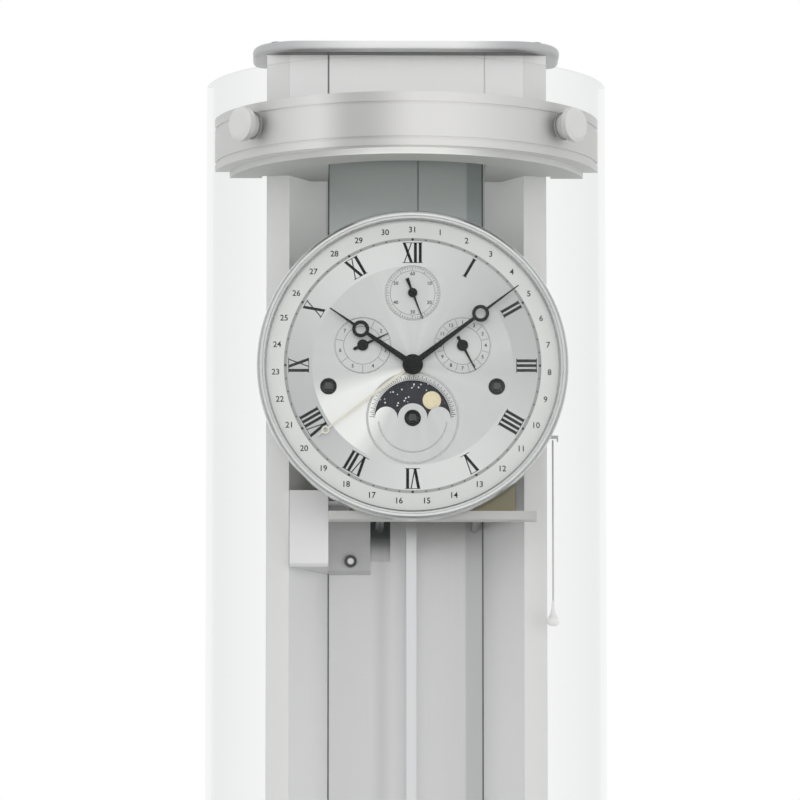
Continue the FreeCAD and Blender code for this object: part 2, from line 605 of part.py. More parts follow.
def disc_shape(radius, front, rear, bore=0.0):
    """A round piece on the Y axis between two depths, measured forward from the wall."""
    shape = Part.makeCylinder(radius, front - rear, Vector(0, -front, 0), Vector(0, 1, 0))
    if bore:
        hole = Part.makeCylinder(bore, front - rear + 2, Vector(0, -front - 1, 0), Vector(0, 1, 0))
        shape = shape.cut(hole)
    return shape


def at_depth(shape, front):
    shape.translate(Vector(0, -front, 0))
    return shape


def joined(first, *others):
    shape = first.multiFuse(list(others))
    return shape.removeSplitter()


def set_on_dial(label, shape, x=0.0, z=0.0):
    obj = solid(label, shape)
    place(obj, x, 0, f"dial_z + ({z})")
    node(label, obj)


def spoked(shape, hub, rim, count=5, width=3.0):
    """Cuts the windows of a crossed-out wheel between its hub and rim."""
    box_of = shape.BoundBox
    ring = disc_shape(rim, 1 - box_of.YMin, -box_of.YMax - 1, hub)
    for i in range(count):
        bar = Part.makeBox(rim + 2, box_of.YLength + 4, width, Vector(0, box_of.YMin - 2, -width / 2))
        bar.rotate(Vector(), Vector(0, 1, 0), i * 360 / count)
        ring = ring.cut(bar)
    return shape.cut(ring)


def make_motion_work():
    """Cannon pinion, minute wheel and hour wheel between front plate and dial."""
    arbor, cannon = size("arbor_radius"), size("cannon_radius")
    pinion = at_depth(wheel_shape(16, 0.7, 1.8, 180 / 16), 89.0)
    pipe = disc_shape(cannon, 102.8, 86.4)
    bore = disc_shape(arbor + size("fit_gap"), 104, 80)
    set_on_dial("cannon_pinion", joined(pinion, pipe).cut(bore))
    wheel = spoked(at_depth(wheel_shape(48, 0.7, 1.2), 88.7), 4.0, 13.0)
    leaves = at_depth(wheel_shape(14, 0.64, 2.5), 91.2)
    shape = joined(wheel, leaves).cut(disc_shape(1.25, 95, 80))
    set_on_dial("minute_wheel", shape, x="motion_centre")
    hour = spoked(at_depth(wheel_shape(56, 0.64, 1.5, 180 / 56), 91.0), 6.0, 14.0)
    hour = joined(hour, disc_shape(size("hour_pipe"), 101.0, 89.5))
    set_on_dial("hour_wheel", hour.cut(disc_shape(cannon + size("fit_gap"), 104, 80)))


def make_train():
    """Centre wheel, third wheel and escape wheel between the plates."""
    arbor = size("arbor_radius")
    third_angle = math.degrees(math.atan2(size("third_z"), size("third_x")))
    centre = spoked(at_depth(wheel_shape(90, 0.5, 1.5, third_angle), 83.0), 5.0, 21.0)
    set_on_dial("centre_wheel", joined(centre, disc_shape(arbor, 102.6, 44.5)))
    lead = math.degrees(math.atan2(size("seconds_rise") - size("third_z"), -size("third_x")))
    wheel = spoked(at_depth(wheel_shape(96, 0.48, 1.5, lead), 78.0), 5.0, 19.0)
    leaves = at_depth(wheel_shape(12, 0.5, 2.2, third_angle + 180 + 180 / 12), 83.3)
    set_on_dial("third_wheel", joined(wheel, leaves, disc_shape(arbor, 85.5, 44.5)),
                x="third_x", z="third_z")
    leaves = at_depth(wheel_shape(12, 0.48, 2.2, lead + 180 + 180 / 12), 78.3)
    points = []
    for i in range(36):
        root, tip = math.radians(10 * i), math.radians(10 * i + 7)
        points.append(Vector(12.6 * math.cos(root), 0, 12.6 * math.sin(root)))
        points.append(Vector(15 * math.cos(tip), 0, 15 * math.sin(tip)))
    escape = Part.Face(Part.makePolygon(points + points[:1])).extrude(Vector(0, 1.5, 0))
    escape = spoked(at_depth(escape, 56.0), 4.0, 11.0, width=2.2)
    set_on_dial("escape_wheel", joined(escape, leaves, disc_shape(arbor, 98.2, 44.5)), z="seconds_rise")


def make_winding():
    for word, x, z in WINDERS:
        arbor = rod(f"arbor_round_{word}", "wind_radius", "wind_front - 7 - 44.5", x, "7 - wind_front", z)
        square = box(f"arbor_square_{word}", f"{x} - wind_square/2", "-wind_front", f"{z} - wind_square/2",
                     "wind_square", "7.5", "wind_square")
        ratchet = rod(f"ratchet_{word}", "ratchet_radius", "1.6", x, "-front_plate_y - 2.2", z)
        node(f"{word}_winding_arbor", fuse(f"{word}_winding_arbor", [arbor, square, ratchet]))
        drum = rod(f"drum_{word}", "barrel_radius - 1", "26", x, "-79", z)
        rim = rod(f"rim_{word}", "barrel_radius", "2.5", x, "-79.5", z)
        bore = rod(f"drum_bore_{word}", "wind_radius + fit_gap", "40", x, "-85", z)
        node(f"{word}_barrel", cut(f"{word}_barrel", fuse(f"{word}_drum", [drum, rim]), [bore]))


# Hands


def blade(length, root, tip, thick):
    """A straight tapered hand along +Z, front face at y = 0."""
    corners = [Vector(-root / 2, 0, 0), Vector(root / 2, 0, 0),
               Vector(tip / 2, 0, length), Vector(-tip / 2, 0, length)]
    return Part.Face(Part.makePolygon(corners + corners[:1])).extrude(Vector(0, thick, 0))


def tail(length, root, tip, thick):
    """The short counterweight of a hand, below its axis."""
    return blade(length, root, tip, thick).mirror(Vector(), Vector(0, 0, 1))


def eye(height, radius, thick):
    """A round part of a hand at some distance from its axis."""
    return Part.makeCylinder(radius, thick, Vector(0, 0, height), Vector(0, 1, 0))


def boss(radius):
    """The raised middle of a small hand."""
    return Part.makeCylinder(radius, BOSS_THICK, Vector(0, -BOSS_PROUD, 0), Vector(0, 1, 0))


def open_ring_hand(length, ring_height, hub, thick):
    """A slim hand whose blade opens into a ring two thirds of the way out."""
    whole = joined(blade(length, 4.2, 0.7, thick), eye(0, hub, thick), eye(ring_height, 5.5, thick))
    return whole.cut(eye(ring_height, 3.3, thick))


# Hands stand at about nine minutes past ten; angles are clockwise from twelve, seen by the viewer.
HOUR_ANGLE = 304.4
MINUTE_ANGLE = 53.0
DATE_ANGLE = 233.0
SECONDS_ANGLE = 159.0
DAY_ANGLE = 65.0
MONTH_ANGLE = 152.0
BOSS_THICK = 1.1
BOSS_PROUD = 0.3


def clockwise(shape, angle):
    shape.rotate(Vector(), Vector(0, 1, 0), angle)
    return shape


def make_hands():
    thick, fit = size("hand_thick"), size("fit_gap")
    hour = open_ring_hand(size("hour_length"), size("hour_ring"), 6.6, thick)
    hour = clockwise(at_depth(hour, size("hour_front")), HOUR_ANGLE)
    set_on_dial("hour_hand", hour.cut(disc_shape(size("cannon_radius") + fit, 104, 80)))
    minute_front = size("minute_front")
    minute = open_ring_hand(size("minute_length"), size("minute_ring"), 5.6, thick)
    minute = clockwise(at_depth(minute, minute_front), MINUTE_ANGLE)
    set_on_dial("minute_hand", minute.cut(disc_shape(size("arbor_radius") + fit, 106, 80)))
    nut = joined(disc_shape(3.4, minute_front + 1.6, minute_front),
                 disc_shape(2.2, minute_front + 2.8, minute_front + 1.6))
    set_on_dial("hand_nut", nut)
    rear, collar = size("moon_front"), size("collar_front")
    flat, ring = size("date_thick"), size("date_ring")
    date = joined(blade(size("date_length"), 2.0, 0.9, flat), eye(ring, 2.6, flat), eye(0, 5.6, flat))
    date = date.cut(eye(ring, 1.6, flat))
    date = joined(clockwise(at_depth(date, size("date_front")), DATE_ANGLE),
                  disc_shape(size("date_pipe"), size("date_front"), rear), disc_shape(5.8, collar, rear))
    set_on_dial("date_hand", date.cut(disc_shape(size("hour_pipe") + fit, 104, 80)))
    slim = size("slim_thick")
    seconds = joined(blade(size("small_hand"), 1.5, 0.5, slim), tail(10, 0.9, 2.4, slim), boss(3.0))
    seconds = clockwise(at_depth(seconds, size("seconds_front")), SECONDS_ANGLE)
    bore = disc_shape(size("arbor_radius"), 104, 80)
    set_on_dial("seconds_hand", seconds.cut(bore), z="seconds_rise")
    for label, angle, side in (("day_hand", DAY_ANGLE, -1), ("month_hand", MONTH_ANGLE, 1)):
        hand = joined(blade(size("small_hand"), 1.9, 0.5, slim), tail(6.5, 1.9, 1.9, slim), boss(3.6))
        hand = joined(clockwise(at_depth(hand, size("small_front")), angle),
                      disc_shape(1.5, size("small_front"), rear), disc_shape(3.0, collar, rear))
        set_on_dial(label, hand, x=f"{side}*subdial_across", z="subdial_rise")


def make_moon():
    """Moon disc behind the dial: a plate on a bush, with two raised moons."""
    front, orbit = size("moon_front"), size("moon_orbit")
    plate = disc_shape(size("moon_radius"), front, front - 1, size("moon_bush") + size("fit_gap"))
    moons = []
    for turn in (43.5, 223.5):
        x, z = orbit * math.cos(math.radians(turn)), orbit * math.sin(math.radians(turn))
        moons.append(Part.makeCylinder(5.8, 0.3, Vector(x, -front - 0.2, z), Vector(0, 1, 0)))
    set_on_dial("moon_disc", joined(plate, *moons), z="-wind_low")


# Pendulum


def make_pendulum():
    z = "dial_z + pivot_rise"
    arc = Part.makeCylinder(19, 4, Vector(0, -57.2, 0), Vector(0, 1, 0))
    arc = arc.cut(Part.makeCylinder(16.2, 8, Vector(0, -59, 0), Vector(0, 1, 0)))
    sector = Part.Face(Part.makePolygon([Vector(), Vector(40, 0, 48), Vector(-40, 0, 48), Vector()]))
    arc = arc.common(at_depth(sector.extrude(Vector(0, 8, 0)), 59))
    arc.translate(Vector(0, 0, size("seconds_rise") - size("pivot_rise")))
    stem = Part.makeBox(5, 4, 5, Vector(-2.5, -57.2, -4.6))
    arbor = disc_shape(size("arbor_radius"), 85.5, 41)
    crutch = Part.makeBox(5, 1.4, 50, Vector(-2.5, -43.2, -50))
    fork = [Part.makeBox(1.5, 7, 5, Vector(x, -43.2, -50)) for x in (-5.0, 3.5)]
    bridge = Part.makeBox(10, 1.4, 5, Vector(-5, -43.2, -50))
    anchor = joined(arc, stem, arbor, crutch, bridge, *fork)
    obj = solid("anchor", anchor)
    place(obj, 0, 0, z)
    node("anchor", obj)
    spring = box("suspension_strip", "-4", "-pendulum_y - 0.2", "rod_top",
                 "8", "0.4", "dial_z + pivot_rise + 7 - rod_top")
    bar = box("rod_bar", "-rod_width/2", "-pendulum_y - rod_thick/2", "rod_low",
              "rod_width", "rod_thick", "rod_top - rod_low")
    stud = rod("rod_stud", "2", "24", 0, "-pendulum_y", "rod_low - 24", "Z")
    node("pendulum_rod", fuse("pendulum_rod", [spring, bar, stud]))
    halves = []
    for word, side in (("front", 1), ("rear", -1)):
        ball = doc.addObject("Part::Sphere", "bob_ball_" + word)
        bind(ball, Radius="(bob_radius*bob_radius + bob_half*bob_half)/(2*bob_half)")
        offset = f"{side}*((bob_radius*bob_radius + bob_half*bob_half)/(2*bob_half) - bob_half)"
        halves.append(place(ball, 0, f"-pendulum_y + {offset}", "bob_z"))
    edge = rod("bob_edge", "bob_radius - 0.8", "2*bob_half + 2", 0, "-pendulum_y - bob_half - 1", "bob_z")
    lens = common("bob_lens", halves + [edge])
    slot = box("bob_slot", "-rod_width/2 - fit_gap", "-pendulum_y - rod_thick/2 - fit_gap",
               "bob_z - bob_radius - 1", "rod_width + 2*fit_gap", "rod_thick + 2*fit_gap",
               "2*bob_radius + 2")
    node("pendulum_bob", cut("pendulum_bob", lens, [slot]))
    node("rating_nut", turned("rating_nut", [
        ("2 + fit_gap", "0"), ("rating_radius - 1", "0"), ("rating_radius", "1"), ("rating_radius", "5"),
        ("rating_radius - 1", "6"), ("3.4", "6"), ("3.4", "9"), ("2 + fit_gap", "9")],
        0, "-pendulum_y", "nut_z"))


# Pull cord


def make_pull():
    lever = joined(Part.makeBox(35.8, 2.4, 4, Vector(-2, -63.2, -2)),
                   disc_shape(5, 63.2, 60.8), disc_shape(size("arbor_radius"), 85.5, 44.5))
    lever = lever.cut(Part.makeBox(5, 6, 4, Vector(size("cord_x") - size("lever_x") - 2.5, -66, -4)))
    obj = solid("silence_lever", lever)
    place(obj, "lever_x", 0, "lever_z")
    node("silence_lever", obj)
    node("pull_cord", rod("pull_cord", "cord_radius", "cord_top - cord_low", "cord_x", "-cord_y",
                          "cord_low", "Z"))
    node("cord_bell", turned("cord_bell", [
        ("0", "0"), ("bell_radius*0.6", "0.3"), ("bell_radius*0.92", "1.4"), ("bell_radius", "3"),
        ("bell_radius*0.92", "5"), ("bell_radius*0.52", "8"), ("bell_radius*0.32", "11.5"),
        ("bell_radius*0.24", "cord_low - bell_low"),
        ("0", "cord_low - bell_low")],
        "cord_x", "-cord_y", "bell_low"))


def stand_right(obj):
    """Moves a piece, drawn about the dial's own axis, to where the movement stands in the case."""
    drawn_at = {path.lstrip("."): text for path, text in obj.ExpressionEngine}.get("Placement.Base.x", "0")
    obj.setExpression("Placement.Base.x", f"({drawn_at}) + Sizes.movement_x")


make_case()
make_brackets()
make_case_screws()
make_glass()
make_ring("upper_ring", "upper_ring_low", "upper_ring_low - lip_drop")
make_ring("lower_ring", "lower_ring_low", "lower_ring_low + ring_height + lip_drop - lip_thick")
make_knobs()
make_seat()
make_gongs()
make_pull()
fixed_labels = set(nodes)
make_hammers()
make_plates()
make_dial()
make_motion_work()
make_train()
make_winding()
make_hands()
make_moon()
make_pendulum()
for label in nodes.keys() - fixed_labels:
    stand_right(nodes[label])
doc.recompute()

for obj in doc.Objects:
    bad = [word for word in obj.State if word in ("Invalid", "Error")]
    if bad:
        raise RuntimeError(f"{obj.Name} failed: {bad}")
for label, obj in nodes.items():
    if obj.Shape.isNull() or not obj.Shape.isValid():
        raise RuntimeError(f"{label} has no valid shape")

os.makedirs("parts", exist_ok=True)
for label, obj in nodes.items():
    obj.Shape.exportStep(f"parts/{label}.step")
    print(f"{label}: {len(obj.Shape.Solids)} solid(s), {obj.Shape.Volume / 1000:.2f} cm3")
print(len(nodes), "nodes")
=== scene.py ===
# %% [markdown]
# # A regulator wall clock
#
# The clock has a case of aluminium extrusions, a half-round glass door held by two turned rings, a silvered
# calendar dial and a long pendulum. The solids come from the CAD model in metres, already in place. This
# lesson gives them their finishes, prints the dial, hangs the pull cord and sets up the light and the camera.

# %% Load the packed clock
import math

import bmesh
import bpy
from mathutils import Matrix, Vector


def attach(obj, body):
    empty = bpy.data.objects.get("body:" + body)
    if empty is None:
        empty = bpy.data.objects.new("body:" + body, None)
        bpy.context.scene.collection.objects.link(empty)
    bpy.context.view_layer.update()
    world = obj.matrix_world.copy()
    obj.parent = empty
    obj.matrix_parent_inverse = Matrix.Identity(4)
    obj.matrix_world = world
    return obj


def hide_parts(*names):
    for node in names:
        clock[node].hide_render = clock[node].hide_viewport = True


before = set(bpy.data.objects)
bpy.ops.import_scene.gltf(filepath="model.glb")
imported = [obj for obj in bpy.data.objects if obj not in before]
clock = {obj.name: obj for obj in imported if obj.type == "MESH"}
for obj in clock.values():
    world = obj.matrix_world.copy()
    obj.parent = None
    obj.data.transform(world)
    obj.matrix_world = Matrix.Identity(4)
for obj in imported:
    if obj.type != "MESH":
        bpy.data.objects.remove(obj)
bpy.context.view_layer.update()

# %% [markdown]
# ## The camera
#
# A product photographer stands far back with a long lens, so that the case keeps straight sides. The
# underside of the roof and of the rings shows, so the lens is a little below the dial and tilted up. The
# camera is placed on a line through the aim point from two angles, which is easier to adjust than a
# location and three rotations.

# %% Camera below the dial
AIM = Vector((-0.0039, -0.030, -0.1286))
CAMERA_AZIMUTH = math.radians(-0.8)
CAMERA_ELEVATION = math.radians(-7.6)
CAMERA_DISTANCE = 5.0
LENS = 346.15
SENSOR_WIDTH = 36

back = Vector((math.sin(CAMERA_AZIMUTH) * math.cos(CAMERA_ELEVATION),
               -math.cos(CAMERA_AZIMUTH) * math.cos(CAMERA_ELEVATION),
               math.sin(CAMERA_ELEVATION)))
camera_data = bpy.data.cameras.new("camera")
camera_data.lens = LENS
camera_data.sensor_width = SENSOR_WIDTH
camera = bpy.data.objects.new("camera", camera_data)
camera.location = AIM + back * CAMERA_DISTANCE
camera.rotation_mode = "QUATERNION"
camera.rotation_quaternion = (-back).to_track_quat("-Z", "Y")
bpy.context.scene.collection.objects.link(camera)
bpy.context.scene.camera = camera
bpy.context.scene.view_settings.view_transform = "Standard"
print("camera at", tuple(round(c, 3) for c in camera.location))

# %% [markdown]
# ## Shader sums
#
# A finish is a small graph of nodes. Wiring nodes one by one hides the idea, so a socket is wrapped in a
# class whose operators add Math nodes: `1 - mask` reads like the sum that it is.

# %% A socket that can be used in sums
class Value:
    """An output of a node, with the operators of a number."""

    def __init__(self, finish, socket):
        self.finish = finish
        self.socket = socket

    def sum(self, operation, first, second):
        return self.finish.node("ShaderNodeMath", {"operation": operation}, {0: first, 1: second})

    def __add__(self, other):
        return self.sum("ADD", self, other)

    def __sub__(self, other):
        return self.sum("SUBTRACT", self, other)

    def __rsub__(self, other):
        return self.sum("SUBTRACT", other, self)

    def __mul__(self, other):
        return self.sum("MULTIPLY", self, other)

    def __lt__(self, other):
        return self.sum("LESS_THAN", self, other)

    def __gt__(self, other):
        return self.sum("GREATER_THAN", self, other)


print("a socket takes +, -, *, < and >")

# %% [markdown]
# ## Finishes
#
# A finish holds one material. Every node comes from its one method `node`, which takes the type, the settings
# and the values or links of the sockets. The other methods are the few nodes that this clock needs, by name.

# %% A material and its nodes
class Finish:
    """One material and the nodes in it."""

    def __init__(self, name):
        self.material = bpy.data.materials.new(name)
        self.material.use_nodes = True
        self.tree = self.material.node_tree
        self.tree.nodes.clear()

    def node(self, kind, settings, inputs, output=0):
        """A new node; an input is a plain value or the output of another node."""
        made = self.tree.nodes.new(kind)
        for key, value in settings.items():
            setattr(made, key, value)
        for key, value in inputs.items():
            if isinstance(value, Value):
                self.tree.links.new(value.socket, made.inputs[key])
            else:
                made.inputs[key].default_value = value
        return Value(self, made.outputs[output]) if made.outputs else None

    def vector(self, operation, first, second, output=0):
        return self.node("ShaderNodeVectorMath", {"operation": operation}, {0: first, 1: second}, output)

    def place(self):
        """The point on the piece, in metres."""
        return self.node("ShaderNodeTexCoord", {}, {}, "Object")

    def axis(self, letter):
        """One coordinate of the point on the piece."""
        return self.node("ShaderNodeSeparateXYZ", {}, {"Vector": self.place()}, letter)

    def stretched(self, scale):
        """The point on the piece, stretched along each axis."""
        return self.vector("MULTIPLY", self.place(), scale)

    def distance(self, point, centre):
        return self.vector("DISTANCE", point, centre, "Value")

    def absolute(self, value):
        return self.node("ShaderNodeMath", {"operation": "ABSOLUTE"}, {0: value})

    def noise(self, vector, scale, detail=3.0, roughness=0.55):
        return self.node("ShaderNodeTexNoise", {}, {"Vector": vector, "Scale": scale, "Detail": detail,
                                                    "Roughness": roughness})

    def mix(self, first, second, share):
        return self.node("ShaderNodeMix", {"data_type": "RGBA"}, {0: share, 6: first, 7: second}, 2)

    def smooth(self, value, low, high):
        """A soft step from 0 at low to 1 at high."""
        return self.node("ShaderNodeMapRange", {"interpolation_type": "SMOOTHSTEP"},
                         {"Value": value, "From Min": low, "From Max": high})

    def between(self, letter, low, high, soft):
        """1 where one coordinate lies between two values, with soft edges."""
        value = self.axis(letter)
        past_high = self.smooth(value, high - soft, high + soft)
        return self.smooth(value, low - soft, low + soft) * (1 - past_high)

    def bump(self, height, strength, distance):
        return self.node("ShaderNodeBump", {},
                         {"Height": height, "Strength": strength, "Distance": distance})

    def surface(self, **inputs):
        """Close the graph with one Principled shader; an underscore in a key stands for a space."""
        named = {key.replace("_", " "): value for key, value in inputs.items()}
        shader = self.node("ShaderNodeBsdfPrincipled", {}, named)
        self.node("ShaderNodeOutputMaterial", {}, {"Surface": shader})
        return self.material


print("a finish has", ", ".join(name for name in vars(Finish) if not name.startswith("_")))

# %% [markdown]
# ## Colours and dressing
#
# A colour is written as it looks on the screen and turned into the linear values that a shader sums. Dressing
# hangs a finish on nodes of the clock, whose meshes stay as they are.

# %% Screen tones and dressed nodes
def tone(red, green, blue):
    """A colour written as it looks on the screen, from 0 to 255."""
    shares = [channel / 255 for channel in (red, green, blue)]
    linear = [share / 12.92 if share < 0.0404 else ((share + 0.055) / 1.055) ** 2.4 for share in shares]
    return (*linear, 1.0)


def dress(material, *names):
    """Give one material to the named nodes of the clock."""
    for name in names:
        clock[name].data.materials.clear()
        clock[name].data.materials.append(material)
    print(material.name, "on", ", ".join(names))


print("mid grey is", round(tone(128, 128, 128)[0], 3))

# %% [markdown]
# ## The pull cord
#
# The cord hangs from the silence lever and carries a small bell, so it hangs straight. It is a curve with one
# NURBS spline: the lever end, one point a few diameters below it, and the bell.

# %% Cord from lever to bell
CORD_X, CORD_Y = 0.0943, -0.062
CORD_TOP, CORD_LOW = -0.159, -0.263
CORD_DIAMETER = 0.0012
CORD_KNOT_DROP = 0.0072

cord_curve = bpy.data.curves.new("bell_cord", "CURVE")
cord_curve.dimensions = "3D"
cord_curve.bevel_depth = CORD_DIAMETER / 2
cord_curve.bevel_resolution = 4
cord_curve.use_fill_caps = True
spline = cord_curve.splines.new("NURBS")
cord_heights = (CORD_TOP, CORD_TOP - CORD_KNOT_DROP, CORD_LOW)
spline.points.add(len(cord_heights) - 1)
for point, height in zip(spline.points, cord_heights):
    point.co = (CORD_X, CORD_Y, height, 1)
spline.order_u = 3
spline.use_endpoint_u = True
spline.resolution_u = 12
cord = bpy.data.objects.new("bell_cord", cord_curve)
bpy.context.scene.collection.objects.link(cord)
print("cord through heights", [round(height, 4) for height in cord_heights])

# %% [markdown]
# ## Yarn
#
# A fine twist in the finish shows the lay of the yarn, which is too thin to model strand by strand. The cord
# moves with the pull, stands for the CAD cord and keeps the bell at its lower end.

# %% Twisted yarn
TWIST_DOWN, TWIST_ACROSS = 5200, 2600
YARN_RELIEF = 0.0002

yarn = Finish("twisted_yarn")
turns = yarn.axis("Z") * TWIST_DOWN + yarn.axis("X") * TWIST_ACROSS
lay = yarn.node("ShaderNodeMath", {"operation": "SINE"}, {0: turns}) * 0.5 + 0.5
yarn.surface(Base_Color=yarn.mix(tone(168, 168, 166), tone(222, 222, 219), lay), Roughness=0.85,
             Normal=yarn.bump(lay, 0.6, YARN_RELIEF))
cord_curve.materials.append(yarn.material)
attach(cord, "pull")
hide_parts("pull_cord")
print("cord length", round(CORD_TOP - CORD_LOW, 3))

# %% [markdown]
# ## Lined metal
#
# The extruded cheeks are brushed along their length, the rings are turned, so their lines run round, and the
# roof is bead blasted. A noise texture whose point is squeezed along one axis makes lines along the other;
# the same noise moves the colour, the roughness and a very shallow bump. A piece that isn't the same all over
# adds a shade: a second colour and a mask that says where it lies. On most pieces this is painted shade,
# highlight and reflection.

# %% Brushed, turned and blasted metal
ALONG = (2600, 2600, 14)
ROUND = (60, 60, 3600)
EVEN = (2400, 2400, 2400)
LINE_RELIEF = 0.00002


def lined_metal(name, light, dark, scale, rough=0.34, rough_swing=0.12, metallic=1.0, shade=None):
    """Metal with fine lines, which run along the axis that has the smallest scale.

    shade, if given, takes the finish and returns a second colour and its share over the piece.
    """
    metal = Finish(name)
    lines = metal.noise(metal.stretched(scale), 1.0, 4.0)
    cloud = metal.noise(metal.place(), 9.0, 2.0)
    colour = metal.mix(dark, light, lines * 0.7 + cloud * 0.3)
    if shade:
        second, share = shade(metal)
        colour = metal.mix(colour, second, share)
    roughness = lines * rough_swing + (rough - rough_swing / 2)
    return metal.surface(Base_Color=colour, Metallic=metallic, Roughness=roughness,
                         Normal=metal.bump(lines, 0.25, LINE_RELIEF))


knob_metal = lined_metal("knob_aluminium", tone(223, 223, 222), tone(213, 213, 212), EVEN, 0.55, 0.06)
dress(knob_metal, "knob_upper_left", "knob_upper_right", "knob_lower_left", "knob_lower_right")

# %% [markdown]
# ## Rings
#
# A turned ring reflects the room in broad stretches; these are painted reflections, darker left of the middle
# and towards both ends. Below the band hangs a lip of smaller radius: its face carries a painted highlight in
# the middle, and its underside a painted shade.

# %% Turned rings
RING_AXIS = (0, -0.030, 0)
LIP_RADIUS = 0.1163
LIP_SKIN = 0.0006
STRETCH_RISE, STRETCH_FALL = (-0.060, -0.036), (-0.030, 0.006)
LEFT_END, RIGHT_END = (-0.095, -0.055), (0.020, 0.090)
LIP_ENDS = (0.018, 0.062)


def ring_shade(metal):
    """Painted reflections: darker stretches round the band, a painted highlight on the lip's face and painted
    shade under the lip.
    """
    across = metal.axis("X")
    stretch = metal.smooth(across, *STRETCH_RISE) * (1 - metal.smooth(across, *STRETCH_FALL)) * 0.62
    right = metal.smooth(across, *RIGHT_END) * 0.42
    left = (1 - metal.smooth(across, *LEFT_END)) * 0.32
    from_axis = metal.distance(metal.stretched((1, 1, 0)), RING_AXIS)
    lip = from_axis < LIP_RADIUS
    under = from_axis < LIP_RADIUS - LIP_SKIN
    ends = metal.smooth(metal.absolute(across), *LIP_ENDS)
    lip_highlight = metal.mix(tone(254, 254, 252), tone(206, 206, 205), ends)
    # Painted reflection and shade of the band, and the lip's painted highlight and shade.
    painted_light = metal.mix(tone(160, 160, 159), metal.mix(lip_highlight, tone(186, 187, 183), under), lip)
    return painted_light, 1 - (1 - stretch - right - left) * (1 - lip)


ring_metal = lined_metal("ring_aluminium", tone(235, 234, 232), tone(225, 224, 223), ROUND, 0.6,
                         metallic=0.25, shade=ring_shade)
dress(ring_metal, "upper_ring", "lower_ring")

# %% [markdown]
# ## Roof and header
#
# The front edge of the roof carries a painted reflection, brightest in the middle and darker towards the
# ends, and its underside is painted dark, as painted shade above the header.
# The header has two seams; the left one is painted darker.

# %% Roof, floor and header cover
ROOF_RISE, ROOF_FALL = (-0.090, -0.020), (0.030, 0.072)
ROOF_UNDER = 0.0949
ROOF_UNDER_HALF, ROOF_UNDER_SOFT = 0.086, 0.004
SEAM_FROM, SEAM_TO = -0.0513, -0.0501


def roof_shade(metal):
    """Painted reflection that leaves the ends darker, and painted shade on the underside."""
    across = metal.axis("X")
    ends = 1 - metal.smooth(across, *ROOF_RISE) * (1 - metal.smooth(across, *ROOF_FALL))
    height = metal.axis("Z")
    inside = metal.between("X", -ROOF_UNDER_HALF, ROOF_UNDER_HALF, ROOF_UNDER_SOFT)
    under = (height > 0) * (height < ROOF_UNDER) * inside
    return metal.mix(tone(160, 161, 162), tone(106, 106, 107), under), 1 - (1 - ends * 0.75) * (1 - under)


def header_shade(metal):
    """The left seam, painted darker."""
    return tone(104, 105, 106), metal.between("X", SEAM_FROM, SEAM_TO, 0.0002) * 0.8


roof_metal = lined_metal("roof_aluminium", tone(240, 240, 241), tone(228, 228, 229), EVEN, 0.40, 0.05,
                         shade=roof_shade)
header_metal = lined_metal("header_aluminium", tone(239, 239, 238), tone(230, 230, 230), ALONG, 0.45,
                           metallic=0.15, shade=header_shade)
dress(roof_metal, "top_plate", "bottom_plate")
dress(header_metal, "header_cover")

# %% [markdown]
# ## Cheeks
#
# The cheeks are satin extrusions. Their front flanges carry a painted highlight beside the dial, and their
# reveals, which turn inwards, are painted lighter above than below, with painted shade at their foot. The
# rear and the outer sides are painted darker, as painted shade.

# %% Extruded cheeks
FLANGE_IN, SIDE_IN = 0.0759, 0.0905
FLANGE_SOFT = 0.0004
REVEAL_REAR = -0.012
# Painted highlight on the flanges between these heights, beside the dial.
DIAL_ZONE = (-0.190, -0.030, 0.040)
# Painted shade at the foot of the reveals, fading in between these heights.
REVEAL_SHADE_FADE = (-0.235, -0.120)


def cheek_shade(metal):
    """Painted light: a highlight on the flanges beside the dial, and painted shade at the foot of the
    reveals, on the rear and on the outer sides.
    """
    across = metal.absolute(metal.axis("X"))
    flange = metal.smooth(across, FLANGE_IN - FLANGE_SOFT, FLANGE_IN + FLANGE_SOFT)
    flange_highlight = metal.mix(tone(221, 221, 220), tone(252, 252, 251), metal.between("Z", *DIAL_ZONE))
    painted_light = metal.mix(tone(222, 222, 222), flange_highlight, flange)
    low = 1 - metal.smooth(metal.axis("Z"), *REVEAL_SHADE_FADE)
    rear = metal.axis("Y") > REVEAL_REAR
    outside = across > SIDE_IN
    return metal.mix(painted_light, tone(204, 204, 203), outside), 1 - (1 - flange) * (1 - low) * (1 - rear)


cheek_metal = lined_metal("cheek_aluminium", tone(252, 252, 251), tone(246, 246, 246), ALONG, 0.40,
                          metallic=0.1, shade=cheek_shade)
dress(cheek_metal, "left_cheek", "right_cheek")

# %% [markdown]
# ## The rear panel
#
# The panel between the cheeks is painted darker in the niche above the dial, as painted shade, and two strips
# of painted reflection run down it. It has a pocket with a painted shadow in it, a joint line and a dark gap
# at each edge. Pocket and joint are cut into the solid, so their finish lies only where the surface is sunk.
# Limits are written as low, high and the softness of the edge.

# %% Panel with pocket and joint
NICHE_RISE = (-0.205, -0.060)
SUNK = (-0.0099, -0.0066, 0.00005)
POCKET = (-0.0262, -0.0098, 0.0001)
POCKET_FADE = (-0.234, -0.214)
JOINT = (0.0075, 0.0089, 0.0001)
PANEL_PLAIN = (-0.0498, 0.0498, 0.0004)
RIGHT_STRIP, LEFT_STRIP = (0.039, 0.060, 0.001), (-0.019, -0.012, 0.004)
NICHE_STRIP = (0.040, 0.060, 0.001)


